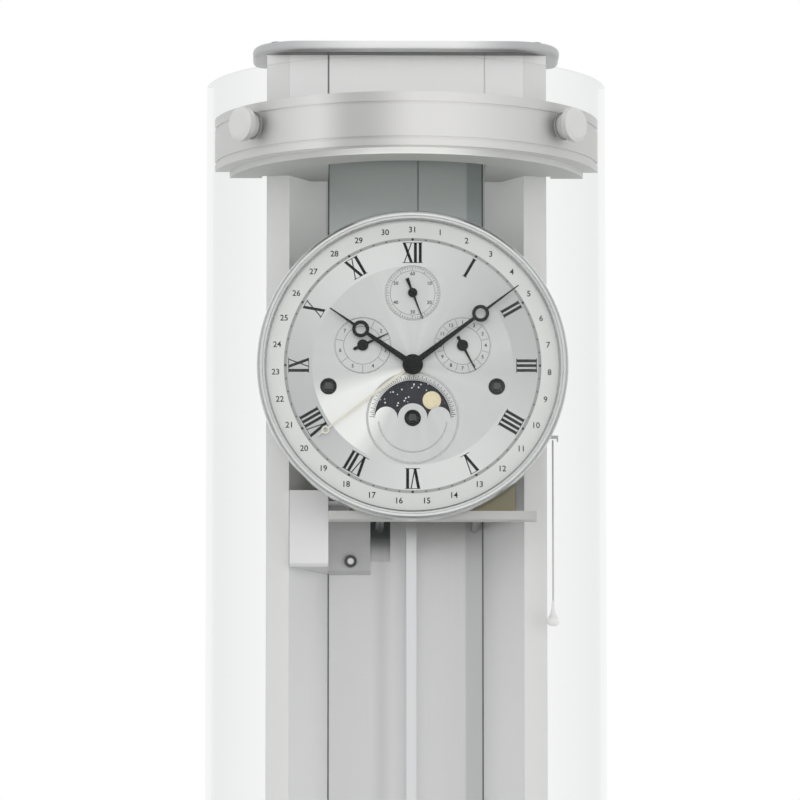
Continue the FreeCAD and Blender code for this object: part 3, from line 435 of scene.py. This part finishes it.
def panel_shade(metal):
    """Painted shade in the niche, two strips of painted reflection, a painted shadow in the pocket, and the
    dark joint and edges.
    """
    niche = metal.smooth(metal.axis("Z"), *NICHE_RISE)
    sunk = metal.between("Y", *SUNK)
    pocket = sunk * metal.between("X", *POCKET) * metal.smooth(metal.axis("Z"), *POCKET_FADE)
    joint = sunk * metal.between("X", *JOINT) * niche * 0.5
    dark = 1 - (1 - pocket) * (1 - joint) * metal.between("X", *PANEL_PLAIN)
    strip = metal.between("X", *RIGHT_STRIP) * 0.4 + metal.between("X", *LEFT_STRIP) * 0.25
    niche_tone = metal.mix(tone(188, 196, 194), tone(148, 159, 158), metal.between("X", *NICHE_STRIP))
    shade = metal.mix(metal.mix(tone(150, 152, 152), niche_tone, niche), tone(48, 54, 53), dark)
    return shade, 1 - (1 - niche * 0.85) * (1 - dark) * (1 - strip)


panel_metal = lined_metal("panel_aluminium", tone(218, 218, 218), tone(204, 204, 204), ALONG, 0.30, 0.08,
                          metallic=0.6, shade=panel_shade)
dress(panel_metal, "back_panel")

# %% [markdown]
# ## Paint
#
# The head and base boards and the seat board are painted fibreboard, and the gong block is a painted casting.
# Paint is not metallic; a fine orange-peel noise in the bump keeps it from looking like plain grey.

# %% Painted boards, block and bell
BLOCK_EAR = (-0.0507, -0.0503)
BLOCK_EDGE = (-0.2395, -0.2375)


def painted(name, light, dark, rough, grain=900.0, height=0.00003, coat=0.0, shine=0.5):
    """Paint, lacquer or rubber, with a fine peel in its surface."""
    paint = Finish(name)
    peel = paint.noise(paint.place(), grain, 3.0)
    cloud = paint.noise(paint.place(), 22.0, 3.0)
    return paint.surface(Base_Color=paint.mix(dark, light, cloud), Roughness=peel * 0.12 + (rough - 0.06),
                         Coat_Weight=coat, Specular_IOR_Level=shine, Normal=paint.bump(peel, 0.3, height))


def block_shade(metal):
    """Painted shade on the ear and the lower edge of the casting, which turn away from the light."""
    ear = metal.smooth(metal.axis("X"), *BLOCK_EAR) * 0.45
    edge = (1 - metal.smooth(metal.axis("Z"), *BLOCK_EDGE)) * 0.4
    return tone(160, 161, 161), 1 - (1 - ear) * (1 - edge)


board_paint = painted("board_paint", tone(178, 181, 178), tone(168, 171, 168), 0.55)
seat_paint = painted("seat_paint", tone(188, 187, 185), tone(178, 177, 175), 0.42)
block_paint = lined_metal("block_paint", tone(231, 231, 231), tone(223, 223, 223), EVEN, 0.4, metallic=0.0,
                          shade=block_shade)
bell_gloss = painted("bell_gloss", tone(240, 240, 239), tone(232, 232, 231), 0.16, 300.0, 0.00001, 0.5)
rubber = painted("washer_rubber", tone(150, 150, 149), tone(134, 134, 133), 0.7)
dress(board_paint, "head_board", "base_board")
dress(seat_paint, "seat_board")
dress(block_paint, "gong_block")
dress(bell_gloss, "cord_bell")
dress(rubber, "knob_washers")

# %% [markdown]
# ## Steel
#
# Fittings are bright steel, the pendulum rod is drawn, and the winding arbors and seat posts are blacked.
# The case screws are dark; the domed gong screw has a painted highlight in the middle of its head, found by
# the distance from its middle.

# %% Steel fittings
SCREW_MIDDLE = (-0.0358, 0, -0.2325)
SCREW_HIGHLIGHT_EDGE = (0.0015, 0.0025)


def screw_shade(metal):
    """Dark steel round a painted highlight in the middle of the gong screw's domed head."""
    from_middle = metal.distance(metal.stretched((1, 0, 1)), SCREW_MIDDLE)
    return tone(70, 70, 71), metal.smooth(from_middle, *SCREW_HIGHLIGHT_EDGE)


steel = lined_metal("bright_steel", tone(206, 206, 207), tone(180, 181, 183), EVEN, 0.28, 0.08)
rod_steel = lined_metal("rod_steel", tone(228, 228, 229), tone(214, 215, 216), ALONG, 0.34, 0.08)
screw_steel = lined_metal("screw_steel", tone(228, 228, 228), tone(214, 214, 215), EVEN, 0.3,
                          shade=screw_shade)
black_steel = lined_metal("arbor_steel", tone(96, 96, 98), tone(60, 60, 62), EVEN, 0.30, 0.08)
dress(steel, "hanger_bar", "door_brackets", "gong_rods", "hammer_shaft", "plate_pillars", "dial_posts",
      "silence_lever", "suspension_cock", "anchor", "cannon_pinion")
dress(rod_steel, "pendulum_rod")
dress(screw_steel, "case_screws")
dress(black_steel, "strike_winding_arbor", "chime_winding_arbor", "going_winding_arbor", "seat_posts")

# %% [markdown]
# ## Brass
#
# The movement plates are straight-grained brass, and the wheels and barrels are turned. Old lacquer gives
# brass a patchy tone, so a soft cloud of a redder brass is mixed in.

# %% Brass movement
BLACK_TIP = -0.0965
PLATE_GRAIN = (1800, 1800, 16)


def brass(name, scale, rough):
    """Lacquered brass; the ends of arbors that come through the dial are blacked."""
    metal = Finish(name)
    lines = metal.noise(metal.stretched(scale), 1.0, 4.0)
    patch = metal.noise(metal.place(), 38.0, 3.0)
    yellow = metal.mix(tone(112, 107, 86), tone(138, 131, 106), lines)
    aged = metal.mix(yellow, tone(104, 92, 66), patch * 0.4)
    colour = metal.mix(aged, tone(20, 20, 21), metal.axis("Y") < BLACK_TIP)
    return metal.surface(Base_Color=colour, Metallic=1.0, Roughness=lines * 0.14 + (rough - 0.07),
                         Normal=metal.bump(lines, 0.3, LINE_RELIEF))


plate_brass = brass("plate_brass", PLATE_GRAIN, 0.32)
wheel_brass = brass("wheel_brass", EVEN, 0.28)
dress(plate_brass, "front_plate", "back_plate")
dress(wheel_brass, "minute_wheel", "hour_wheel", "centre_wheel", "third_wheel", "escape_wheel",
      "strike_barrel", "chime_barrel", "going_barrel", "chime_hammers", "rating_nut")

# %% [markdown]
# ## The bob
#
# The bob is turned on a lathe, so its lines are circles: a noise that depends on the distance from its
# centre only.

# %% Nickelled bob
BOB_CENTRE = (0.0033, -0.038, -0.735)
BOB_LINES = 2600.0
BOB_RELIEF = 0.00003

bob = Finish("turned_bob")
bob_lines = bob.node("ShaderNodeTexNoise", {"noise_dimensions": "1D"},
                     {"W": bob.distance(bob.place(), BOB_CENTRE), "Scale": BOB_LINES, "Detail": 3.0})
bob.surface(Base_Color=bob.mix(tone(206, 206, 205), tone(234, 234, 233), bob_lines), Metallic=1.0,
            Roughness=bob_lines * 0.14 + 0.16, Normal=bob.bump(bob_lines, 0.35, BOB_RELIEF))
dress(bob.material, "pendulum_bob")

# %% [markdown]
# ## The door glass
#
# The pane is bent float glass. Seen square on it is almost invisible; seen along its surface it turns into
# a pale grey film. Alpha follows the facing angle, which also lets lamp light through to the dial without
# caustics.

# %% Bent glass
GLASS_RIPPLE = (30, 30, 3)
FILM_EDGE, FILM_LEAST = 0.22, 0.02

pane = Finish("door_glass")
facing = pane.node("ShaderNodeLayerWeight", {}, {"Blend": 0.5}, "Facing")
ripple = pane.noise(pane.stretched(GLASS_RIPPLE), 1.0, 2.0)
pane.surface(Base_Color=pane.mix(tone(150, 156, 155), tone(164, 169, 168), ripple), Roughness=0.03, IOR=1.5,
             Alpha=facing * FILM_EDGE + FILM_LEAST, Normal=pane.bump(ripple, 0.05, 0.0004))
dress(pane.material, "glass_front")

# %% [markdown]
# ## The dial
#
# Everything on the dial is measured from its centre: how far out a point is and in which direction. Brushed
# rays throw the light back in two opposite fans; these are painted reflections, a mask that is high along one
# line through the centre.

# %% Points and fans of the dial
DIAL_X, DIAL_Z = 0.0033, -0.115
DIAL_FRONT = -0.096
DEGREES_PER_HOUR = 30


def dial_point(finish):
    """The radius and the direction of a point on the dial, from the dial's centre."""
    flat = finish.node("ShaderNodeCombineXYZ", {},
                       {"X": finish.axis("X") - DIAL_X, "Z": finish.axis("Z") - DIAL_Z})
    radius = finish.node("ShaderNodeVectorMath", {"operation": "LENGTH"}, {0: flat}, "Value")
    direction = finish.node("ShaderNodeVectorMath", {"operation": "NORMALIZE"}, {0: flat})
    return radius, direction


def fan(finish, direction, clock_hour):
    """The cosine of the angle between a direction and one hour of the dial."""
    turn = math.radians(clock_hour * DEGREES_PER_HOUR)
    return finish.vector("DOT_PRODUCT", direction, (math.sin(turn), 0, math.cos(turn)), "Value")


print("dial centre", (DIAL_X, DIAL_Z))

# %% [markdown]
# ## Silver
#
# The dial is silvered metal, brushed from the centre outwards. A noise that only depends on the direction
# from the centre gives the fine rays. The broad rays and a bright fan for each of the inner disc, the hour
# ring and the date ring are painted reflections in the colour.

# %% Silvered dial
HOUR_RING_IN, DATE_RING_IN = 0.0645, 0.0825
BEAM_HOUR, HOUR_FAN, DATE_FAN = 7.75, 11.2, 3.0
DIAL_RELIEF = 0.00006
BEAM_EDGE = 0.86

silver = Finish("silvered_dial")
dial_radius, direction = dial_point(silver)
fine_rays = silver.noise(direction, 150.0, 2.0)
broad_rays = silver.noise(direction, 2.2, 2.0)
# The beam, the broad rays and the fan of each ring are painted reflections.
beam = silver.smooth(fan(silver, direction, BEAM_HOUR), BEAM_EDGE, 1.0)
inner_share = broad_rays * 0.5 + fine_rays * 0.2 + beam * 0.8
inner_colour = silver.mix(tone(186, 188, 189), tone(246, 247, 244), inner_share)
hour_fan = fan(silver, direction, HOUR_FAN)
hour_share = hour_fan * hour_fan * 0.8 + fine_rays * 0.2
hour_colour = silver.mix(tone(194, 196, 196), tone(228, 229, 228), hour_share)
date_fan = fan(silver, direction, DATE_FAN)
date_share = date_fan * date_fan * 0.8 + fine_rays * 0.2
date_colour = silver.mix(tone(212, 214, 212), tone(237, 238, 236), date_share)
rim_colour = silver.mix(hour_colour, date_colour, dial_radius > DATE_RING_IN)
silver.surface(Base_Color=silver.mix(inner_colour, rim_colour, dial_radius > HOUR_RING_IN), Metallic=0.75,
               Roughness=fine_rays * 0.12 + 0.34, Normal=silver.bump(fine_rays, 0.4, DIAL_RELIEF))
dress(silver.material, "dial_plate")

# %% [markdown]
# ## The bezel
#
# The bezel is polished. Two darker rings are painted on it, one where it meets the dial and one near its
# outer edge: painted shade for a groove and a hollow that face away from the room.

# %% Polished bezel
GROOVE = (0.0938, 0.0956)
HOLLOW_IN, HOLLOW_OUT = (0.0976, 0.0986), (0.0990, 0.0998)

turned = Finish("bezel_aluminium")
bezel_radius, around = dial_point(turned)
# Painted shade: groove and hollow are darker rings in the colour.
groove = 1 - turned.smooth(bezel_radius, *GROOVE)
hollow = turned.smooth(bezel_radius, *HOLLOW_IN) * (1 - turned.smooth(bezel_radius, *HOLLOW_OUT))
bright = turned.mix(tone(218, 219, 219), tone(240, 241, 241), turned.noise(around, 3.0, 2.0))
turned.surface(Base_Color=turned.mix(bright, tone(128, 130, 130), groove + hollow * 0.6), Metallic=1.0,
               Roughness=turned.noise(turned.place(), 2400.0) * 0.06 + 0.20)
dress(turned.material, "bezel")

# %% [markdown]
# ## The hands
#
# The hands and the bushes of the winding holes are black lacquer. The date hand is cream, so that it stays
# behind the others.

# %% Black hands and cream hand
black = painted("hand_black", tone(22, 22, 23), tone(14, 14, 15), 0.38, 1600.0, shine=0.12)
dress(black, "hour_hand", "minute_hand", "hand_nut", "seconds_hand", "day_hand", "month_hand",
      "winding_grommets")
cream = lined_metal("date_hand_cream", tone(230, 228, 214), tone(214, 210, 192), EVEN, 0.4, 0.08,
                    metallic=0.4)
dress(cream, "date_hand")

# %% [markdown]
# ## The moon disc
#
# The disc behind the dial carries a night sky and two moons. The stars lie near the cell centres of a
# Voronoi texture; the moons are found by their distance from two points of the disc.

# %% Night sky and two moons
MOON_Y, MOON_Z = -0.094, -0.149
MOON_ORBIT = 0.017
MOON_RADIUS = 0.0059
MOON_TURN = math.radians(43.5)
STAR_GRID, STAR_SIZE = 330.0, 0.17

sky = Finish("night_sky")
stars = sky.node("ShaderNodeTexVoronoi", {"feature": "F1"},
                 {"Vector": sky.place(), "Scale": STAR_GRID}, "Distance")
night = sky.mix(tone(12, 13, 20), tone(30, 32, 46), sky.noise(sky.place(), 160.0, 3.0))
sky_colour = sky.mix(night, tone(238, 238, 234), stars < STAR_SIZE)
moons = []
for side in (1, -1):
    centre = (DIAL_X + side * MOON_ORBIT * math.cos(MOON_TURN), MOON_Y,
              MOON_Z + side * MOON_ORBIT * math.sin(MOON_TURN))
    moons.append(sky.distance(sky.place(), centre) < MOON_RADIUS)
craters = sky.noise(sky.place(), 420.0, 4.0)
moon_colour = sky.mix(tone(236, 228, 196), tone(212, 200, 160), craters)
sky.surface(Base_Color=sky.mix(sky_colour, moon_colour, moons[0] + moons[1]), Roughness=0.45,
            Normal=sky.bump(craters, 0.2, 0.00005))
dress(sky.material, "moon_disc")

# %% [markdown]
# ## Printing the dial
#
# Print is a skin of ink a few hundredths of a millimetre thick. Thin prisms are used here instead of a
# texture, so the numerals stay sharp at any distance and survive an export. All shapes are drawn in dial
# millimetres: across to the right and up from the dial centre.

# %% Flat shapes
INK_FRONT, INK_REAR = -0.09606, -0.09599
DISC_CORNERS = 14


def on_plate(x, z, depth):
    """A point of the scene, from dial millimetres."""
    return (DIAL_X + x / 1000, depth, DIAL_Z + z / 1000)


def polar(radius, angle):
    """A dial point from its radius and its clockwise angle in degrees."""
    return radius * math.sin(math.radians(angle)), radius * math.cos(math.radians(angle))


def prism(mesh, outline, front=INK_FRONT):
    """A flat shape on the dial, from its corners in dial millimetres."""
    rings = [[mesh.verts.new(on_plate(x, z, depth)) for x, z in outline] for depth in (front, INK_REAR)]
    mesh.faces.new(rings[0])
    mesh.faces.new(rings[1][::-1])
    count = len(outline)
    for i in range(count):
        j = (i + 1) % count
        mesh.faces.new((rings[0][i], rings[1][i], rings[1][j], rings[0][j]))


def disc(mesh, centre, radius, front):
    """A round dot."""
    turns = [i * math.tau / DISC_CORNERS for i in range(DISC_CORNERS)]
    around = [(radius * math.cos(t), radius * math.sin(t)) for t in turns]
    prism(mesh, [(centre[0] + x, centre[1] + z) for x, z in around], front)


def tick(mesh, centre, inner, outer, angle, width):
    """A radial mark."""
    along = polar(1, angle)
    side = (along[1] * width / 2, -along[0] * width / 2)
    corners = [(inner, -1), (inner, 1), (outer, 1), (outer, -1)]
    marks = [(along[0] * reach + side[0] * way, along[1] * reach + side[1] * way) for reach, way in corners]
    prism(mesh, [(centre[0] + x, centre[1] + z) for x, z in marks])


print("ink is", round((INK_REAR - INK_FRONT) * 1000, 3), "mm deep")

# %% [markdown]
# ## Swept shapes
#
# Circles and arcs are a small closed section, swept round a point of the dial. A whole turn closes on
# itself; an arc gets a face at each end.

# %% Circles and arcs
SWEEP_STEPS = 120


def swept(mesh, centre, section, first=0.0, last=360.0, steps=SWEEP_STEPS):
    """A closed section of (radius, depth) points, swept round a dial point between two clock angles."""
    whole_turn = last - first >= 360
    rows = []
    for i in range(steps if whole_turn else steps + 1):
        angle = first + (last - first) * i / steps
        row = []
        for radius, depth in section:
            x, z = polar(radius, angle)
            row.append(mesh.verts.new(on_plate(centre[0] + x, centre[1] + z, depth)))
        rows.append(row)
    pairs = list(zip(rows, rows[1:]))
    if whole_turn:
        pairs.append((rows[-1], rows[0]))
    else:
        mesh.faces.new(rows[0])
        mesh.faces.new(rows[-1][::-1])
    count = len(section)
    for a, b in pairs:
        for k in range(count):
            mesh.faces.new((a[k], a[(k + 1) % count], b[(k + 1) % count], b[k]))


def arc_line(mesh, centre, radius, width, first=0.0, last=360.0, steps=SWEEP_STEPS):
    """A printed circle or arc."""
    inner, outer = radius - width / 2, radius + width / 2
    section = [(inner, INK_FRONT), (outer, INK_FRONT), (outer, INK_REAR), (inner, INK_REAR)]
    swept(mesh, centre, section, first, last, steps)


print("a circle has", SWEEP_STEPS, "steps")

# %% [markdown]
# ## Ink
#
# Drawn shapes become one piece each: the corners are welded, the faces turned outwards, and the piece rides
# on the case.

# %% Printed pieces and inks
WELD = 1e-6


def printed(name, mesh, material):
    """Turn drawn shapes into a piece that rides on the case."""
    bmesh.ops.remove_doubles(mesh, verts=mesh.verts, dist=WELD)
    bmesh.ops.recalc_face_normals(mesh, faces=mesh.faces)
    data = bpy.data.meshes.new(name)
    mesh.to_mesh(data)
    mesh.free()
    data.materials.append(material)
    piece = bpy.data.objects.new(name, data)
    bpy.context.scene.collection.objects.link(piece)
    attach(piece, "case")
    print(name, len(data.polygons), "faces")


ink = painted("dial_ink", tone(24, 24, 25), tone(14, 14, 15), 0.55, 1800.0, 0.00001, shine=0.1)
grey_ink = painted("grey_ink", tone(166, 168, 167), tone(150, 152, 151), 0.55, 1800.0, 0.00001, shine=0.2)
print("inks", ink.name, grey_ink.name)

# %% [markdown]
# ## Roman numerals
#
# Each numeral stands on a line towards the centre. Its strokes are slanted bars, thick or thin as a broad pen
# draws them, and a hairline serif closes the top and the bottom. One table of strokes makes all twelve.

# %% Hour numerals
NUMERALS = ["XII", "I", "II", "III", "IIII", "V", "VI", "VII", "VIII", "IX", "X", "XI"]
NUMERAL_IN, NUMERAL_OUT = 66.5, 79.8
THICK, THIN, SERIF = 1.9, 0.7, 0.4
ADVANCE = {"I": 3.1, "V": 6.5, "X": 6.7}
# Strokes of a letter: share of the advance at the foot and at the head, and the stroke's width.
STROKES = {
    "I": [(0.5, 0.5, THICK)],
    "V": [(0.52, 0.14, THICK), (0.52, 0.90, THIN)],
    "X": [(0.86, 0.14, THICK), (0.14, 0.86, THIN)],
}


def numeral_bar(mesh, hour, low, high, foot, head):
    """A bar of a numeral between two spans (from, to) across, at the heights foot and head."""
    turn = math.radians(hour * DEGREES_PER_HOUR)
    sine, cosine = math.sin(turn), math.cos(turn)
    corners = [(low[0], foot), (low[1], foot), (high[1], head), (high[0], head)]
    prism(mesh, [(up * sine + across * cosine, up * cosine - across * sine) for across, up in corners])


numerals = bmesh.new()
for hour, word in enumerate(NUMERALS):
    half = sum(ADVANCE[letter] for letter in word) / 2
    start = -half
    for letter in word:
        for foot, head, stroke in STROKES[letter]:
            low = start + foot * ADVANCE[letter]
            high = start + head * ADVANCE[letter]
            low_span = (low - stroke / 2, low + stroke / 2)
            high_span = (high - stroke / 2, high + stroke / 2)
            numeral_bar(numerals, hour, low_span, high_span, NUMERAL_IN, NUMERAL_OUT)
        start += ADVANCE[letter]
    for up in (NUMERAL_IN, NUMERAL_OUT - SERIF):
        numeral_bar(numerals, hour, (-half, half), (-half, half), up, up + SERIF)
printed("hour_numerals", numerals, ink)

# %% [markdown]
# ## Numbers
#
# Small figures use the font that is built into Blender. A text object is turned into a mesh, and its
# corners are moved on to the dial; figures of the date ring stand upright, as on most calendar dials.

# %% Date figures
DAYS = 31
DATE_RADIUS, DATE_HEIGHT = 88.0, 3.7
CAP_SHARE = 0.7
FIGURE_BOLD = 0.02


def figure(mesh, text, centre, height):
    """One number, upright and centred on a dial point."""
    curve = bpy.data.curves.new("figure", "FONT")
    curve.body = text
    curve.align_x = "CENTER"
    curve.align_y = "CENTER"
    curve.size = height / CAP_SHARE
    curve.resolution_u = 3
    curve.offset = height * FIGURE_BOLD
    curve.extrude = (INK_REAR - INK_FRONT) * 500
    carrier = bpy.data.objects.new("figure", curve)
    shape = bpy.data.meshes.new_from_object(carrier)
    middle = (INK_REAR + INK_FRONT) / 2
    corners = [mesh.verts.new(on_plate(centre[0] + v.co.x, centre[1] + v.co.y, middle - v.co.z / 1000))
               for v in shape.vertices]
    for face in shape.polygons:
        mesh.faces.new([corners[i] for i in face.vertices])
    bpy.data.objects.remove(carrier)
    bpy.data.curves.remove(curve)
    bpy.data.meshes.remove(shape)


dates = bmesh.new()
for day in range(1, DAYS + 1):
    figure(dates, str(day), polar(DATE_RADIUS, day * 360 / DAYS), DATE_HEIGHT)
printed("date_figures", dates, ink)

# %% [markdown]
# ## The minute track
#
# A grey band lies between the numerals and the date ring. Sixty dots stand on it, larger at the hours, and a
# hair higher than the band, so that the two prints never share a surface.

# %% Minute band and dots
TRACK, TRACK_WIDTH = 81.7, 2.0
HOUR_DOT, MINUTE_DOT = 0.8, 0.45
OVERPRINT = 0.00003

track_band = bmesh.new()
arc_line(track_band, (0, 0), TRACK, TRACK_WIDTH)
printed("minute_band", track_band, grey_ink)
track = bmesh.new()
for minute in range(60):
    disc(track, polar(TRACK, minute * 6), MINUTE_DOT if minute % 5 else HOUR_DOT, INK_FRONT - OVERPRINT)
printed("minute_track", track, ink)

# %% [markdown]
# ## The small dials
#
# The seconds dial counts in tens; the dials for day and month have plain numbers between two thin circles.

# %% Seconds, day and month
SECONDS_CENTRE = (0.0, 47.0)
DAY_CENTRE, MONTH_CENTRE = (-32.0, 13.0), (32.0, 13.0)
SECOND_IN, FIFTH_IN, SECOND_OUT, SECOND_LINE = 15.6, 14.8, 16.8, 14.4
TENS_RADIUS, TENS_HEIGHT = 12.4, 2.2
CALENDAR_IN, CALENDAR_OUT, CALENDAR_RADIUS, CALENDAR_HEIGHT = 12.3, 17.7, 14.9, 2.3
CALENDAR_TICK = (12.6, 17.4)
HAIRLINE, SECOND_TICK = 0.2, 0.25

small_print = bmesh.new()
for second in range(60):
    inner = SECOND_IN if second % 5 else FIFTH_IN
    tick(small_print, SECONDS_CENTRE, inner, SECOND_OUT, second * 6, SECOND_TICK)
for tens in range(1, 7):
    x, z = polar(TENS_RADIUS, tens * 60)
    figure(small_print, str(tens * 10), (SECONDS_CENTRE[0] + x, SECONDS_CENTRE[1] + z), TENS_HEIGHT)
arc_line(small_print, SECONDS_CENTRE, SECOND_LINE, HAIRLINE)
for centre, count in ((DAY_CENTRE, 7), (MONTH_CENTRE, 12)):
    for mark in range(count):
        x, z = polar(CALENDAR_RADIUS, mark * 360 / count)
        figure(small_print, str(mark + 1), (centre[0] + x, centre[1] + z), CALENDAR_HEIGHT)
        tick(small_print, centre, *CALENDAR_TICK, (mark + 0.5) * 360 / count, HAIRLINE)
    arc_line(small_print, centre, CALENDAR_IN, HAIRLINE)
    arc_line(small_print, centre, CALENDAR_OUT, HAIRLINE)
printed("small_dial_print", small_print, ink)

# %% [markdown]
# ## The moon scale
#
# A scale of half days stands over the arch of the moon opening, with a longer mark for each whole day.

# %% Half days of the moon
MOON_CENTRE = (0.0, -34.0)
MOON_LINE, MOON_LINE_WIDTH, MOON_LINE_STEPS = 25.0, 0.25, 60
MOON_TICK_IN, MOON_TICK_SHORT, MOON_TICK_LONG, MOON_TICK_WIDTH = 25.3, 26.5, 27.6, 0.34
MOON_MARKS, MOON_SPAN = 60, 176

moon_print = bmesh.new()
arc_line(moon_print, MOON_CENTRE, MOON_LINE, MOON_LINE_WIDTH, -90, 90, MOON_LINE_STEPS)
for half_day in range(MOON_MARKS):
    angle = -MOON_SPAN / 2 + half_day * MOON_SPAN / (MOON_MARKS - 1)
    outer = MOON_TICK_SHORT if half_day % 2 else MOON_TICK_LONG
    tick(moon_print, MOON_CENTRE, MOON_TICK_IN, outer, angle, MOON_TICK_WIDTH)
printed("moon_scale", moon_print, ink)

# %% [markdown]
# ## Raised rings
#
# The small dials are framed by fine turned rings that stand a little out of the silvered face and catch the
# light. Each is a shallow arch, swept round the centre of its dial.

# %% Rings of the small dials
RING_HEIGHT = 0.0003
ARCH_STEPS = 6
# Each ring: centre, radius, width, and the clock angles where it starts and ends.
RAISED_RINGS = [
    (SECONDS_CENTRE, 17.4, 1.1, 0, 360),
    (MOON_CENTRE, 29.2, 1.4, 0, 360),
    (MOON_CENTRE, 22.0, 0.9, 96, 264),
    (DAY_CENTRE, 18.0, 0.8, 0, 360),
    (MONTH_CENTRE, 18.0, 0.8, 0, 360),
]

rims = bmesh.new()
for centre, radius, width, first, last in RAISED_RINGS:
    bends = [math.pi * k / ARCH_STEPS for k in range(ARCH_STEPS + 1)]
    arch = [(radius - width / 2 * math.cos(bend), DIAL_FRONT - RING_HEIGHT * math.sin(bend))
            for bend in bends]
    foot = [(radius + width / 2, INK_REAR), (radius - width / 2, INK_REAR)]
    swept(rims, centre, arch + foot, first, last)
rim_silver = lined_metal("rim_silver", tone(206, 207, 207), tone(176, 178, 178), EVEN, 0.26, 0.06)
printed("small_dial_rims", rims, rim_silver)

# %% [markdown]
# ## The room
#
# A white room lights metal best. The world shows white to the camera, to mirror rays and to rays that pass
# through glass, and gives the matt surfaces a softer share.

# %% White world
SOFT_SHARE = 0.86

world = bpy.data.worlds.new("white_room")
bpy.context.scene.world = world
world.use_nodes = True
room = world.node_tree
room.nodes.clear()
path = room.nodes.new("ShaderNodeLightPath")
seen = path.outputs["Is Camera Ray"]
for ray in ("Is Glossy Ray", "Is Transmission Ray"):
    either = room.nodes.new("ShaderNodeMath")
    either.operation = "MAXIMUM"
    room.links.new(seen, either.inputs[0])
    room.links.new(path.outputs[ray], either.inputs[1])
    seen = either.outputs[0]
strength = room.nodes.new("ShaderNodeMapRange")
strength.inputs["To Min"].default_value = SOFT_SHARE
strength.inputs["To Max"].default_value = 1.0
room.links.new(seen, strength.inputs["Value"])
backdrop = room.nodes.new("ShaderNodeBackground")
backdrop.inputs["Color"].default_value = (1, 1, 1, 1)
room.links.new(strength.outputs["Result"], backdrop.inputs["Strength"])
room_out = room.nodes.new("ShaderNodeOutputWorld")
room.links.new(backdrop.outputs[0], room_out.inputs["Surface"])
print("world", world.name, len(room.nodes), "nodes")

# %% [markdown]
# ## Lamps
#
# Two large area lamps add the direction; polished metal mirrors the room and not the lamps, so that no side
# of the clock burns out.

# %% Key and fill
LAMP_AIM = Vector((0, -0.05, -0.1))
LAMP_SIZE = 2.4
KEY_PLACE, KEY_POWER = (2.9, -1.9, -0.1), 37
FILL_PLACE, FILL_POWER = (-2.9, -1.9, -0.1), 29


def lamp(name, location, power):
    """A square area lamp that looks at the clock."""
    data = bpy.data.lights.new(name, "AREA")
    data.shape = "SQUARE"
    data.size = LAMP_SIZE
    data.energy = power
    lamp_object = bpy.data.objects.new(name, data)
    lamp_object.visible_glossy = False
    lamp_object.location = location
    lamp_object.rotation_mode = "QUATERNION"
    lamp_object.rotation_quaternion = (LAMP_AIM - Vector(location)).to_track_quat("-Z", "Y")
    bpy.context.scene.collection.objects.link(lamp_object)
    print(name, power, "W")


lamp("key_lamp", KEY_PLACE, KEY_POWER)
lamp("fill_lamp", FILL_PLACE, FILL_POWER)

# %% [markdown]
# ## The floor
#
# The floor is plain and pale, far below the wall clock.

# %% Pale floor
FLOOR_HALF, FLOOR_Z = 9.0, -1.6

floor_corners = [(x * FLOOR_HALF, y * FLOOR_HALF, FLOOR_Z) for x, y in ((-1, -1), (1, -1), (1, 1), (-1, 1))]
floor_mesh = bpy.data.meshes.new("floor")
floor_mesh.from_pydata(floor_corners, [], [(0, 1, 2, 3)])
floor = bpy.data.objects.new("floor", floor_mesh)
bpy.context.scene.collection.objects.link(floor)
floor_mesh.materials.append(painted("floor_paint", tone(244, 244, 243), tone(240, 240, 239), 0.8))
print("floor at", FLOOR_Z)

# %% [markdown]
# ## Sizes
#
# The print and the raised rings lie well inside the box of the solids, so the dressed clock has the same box.
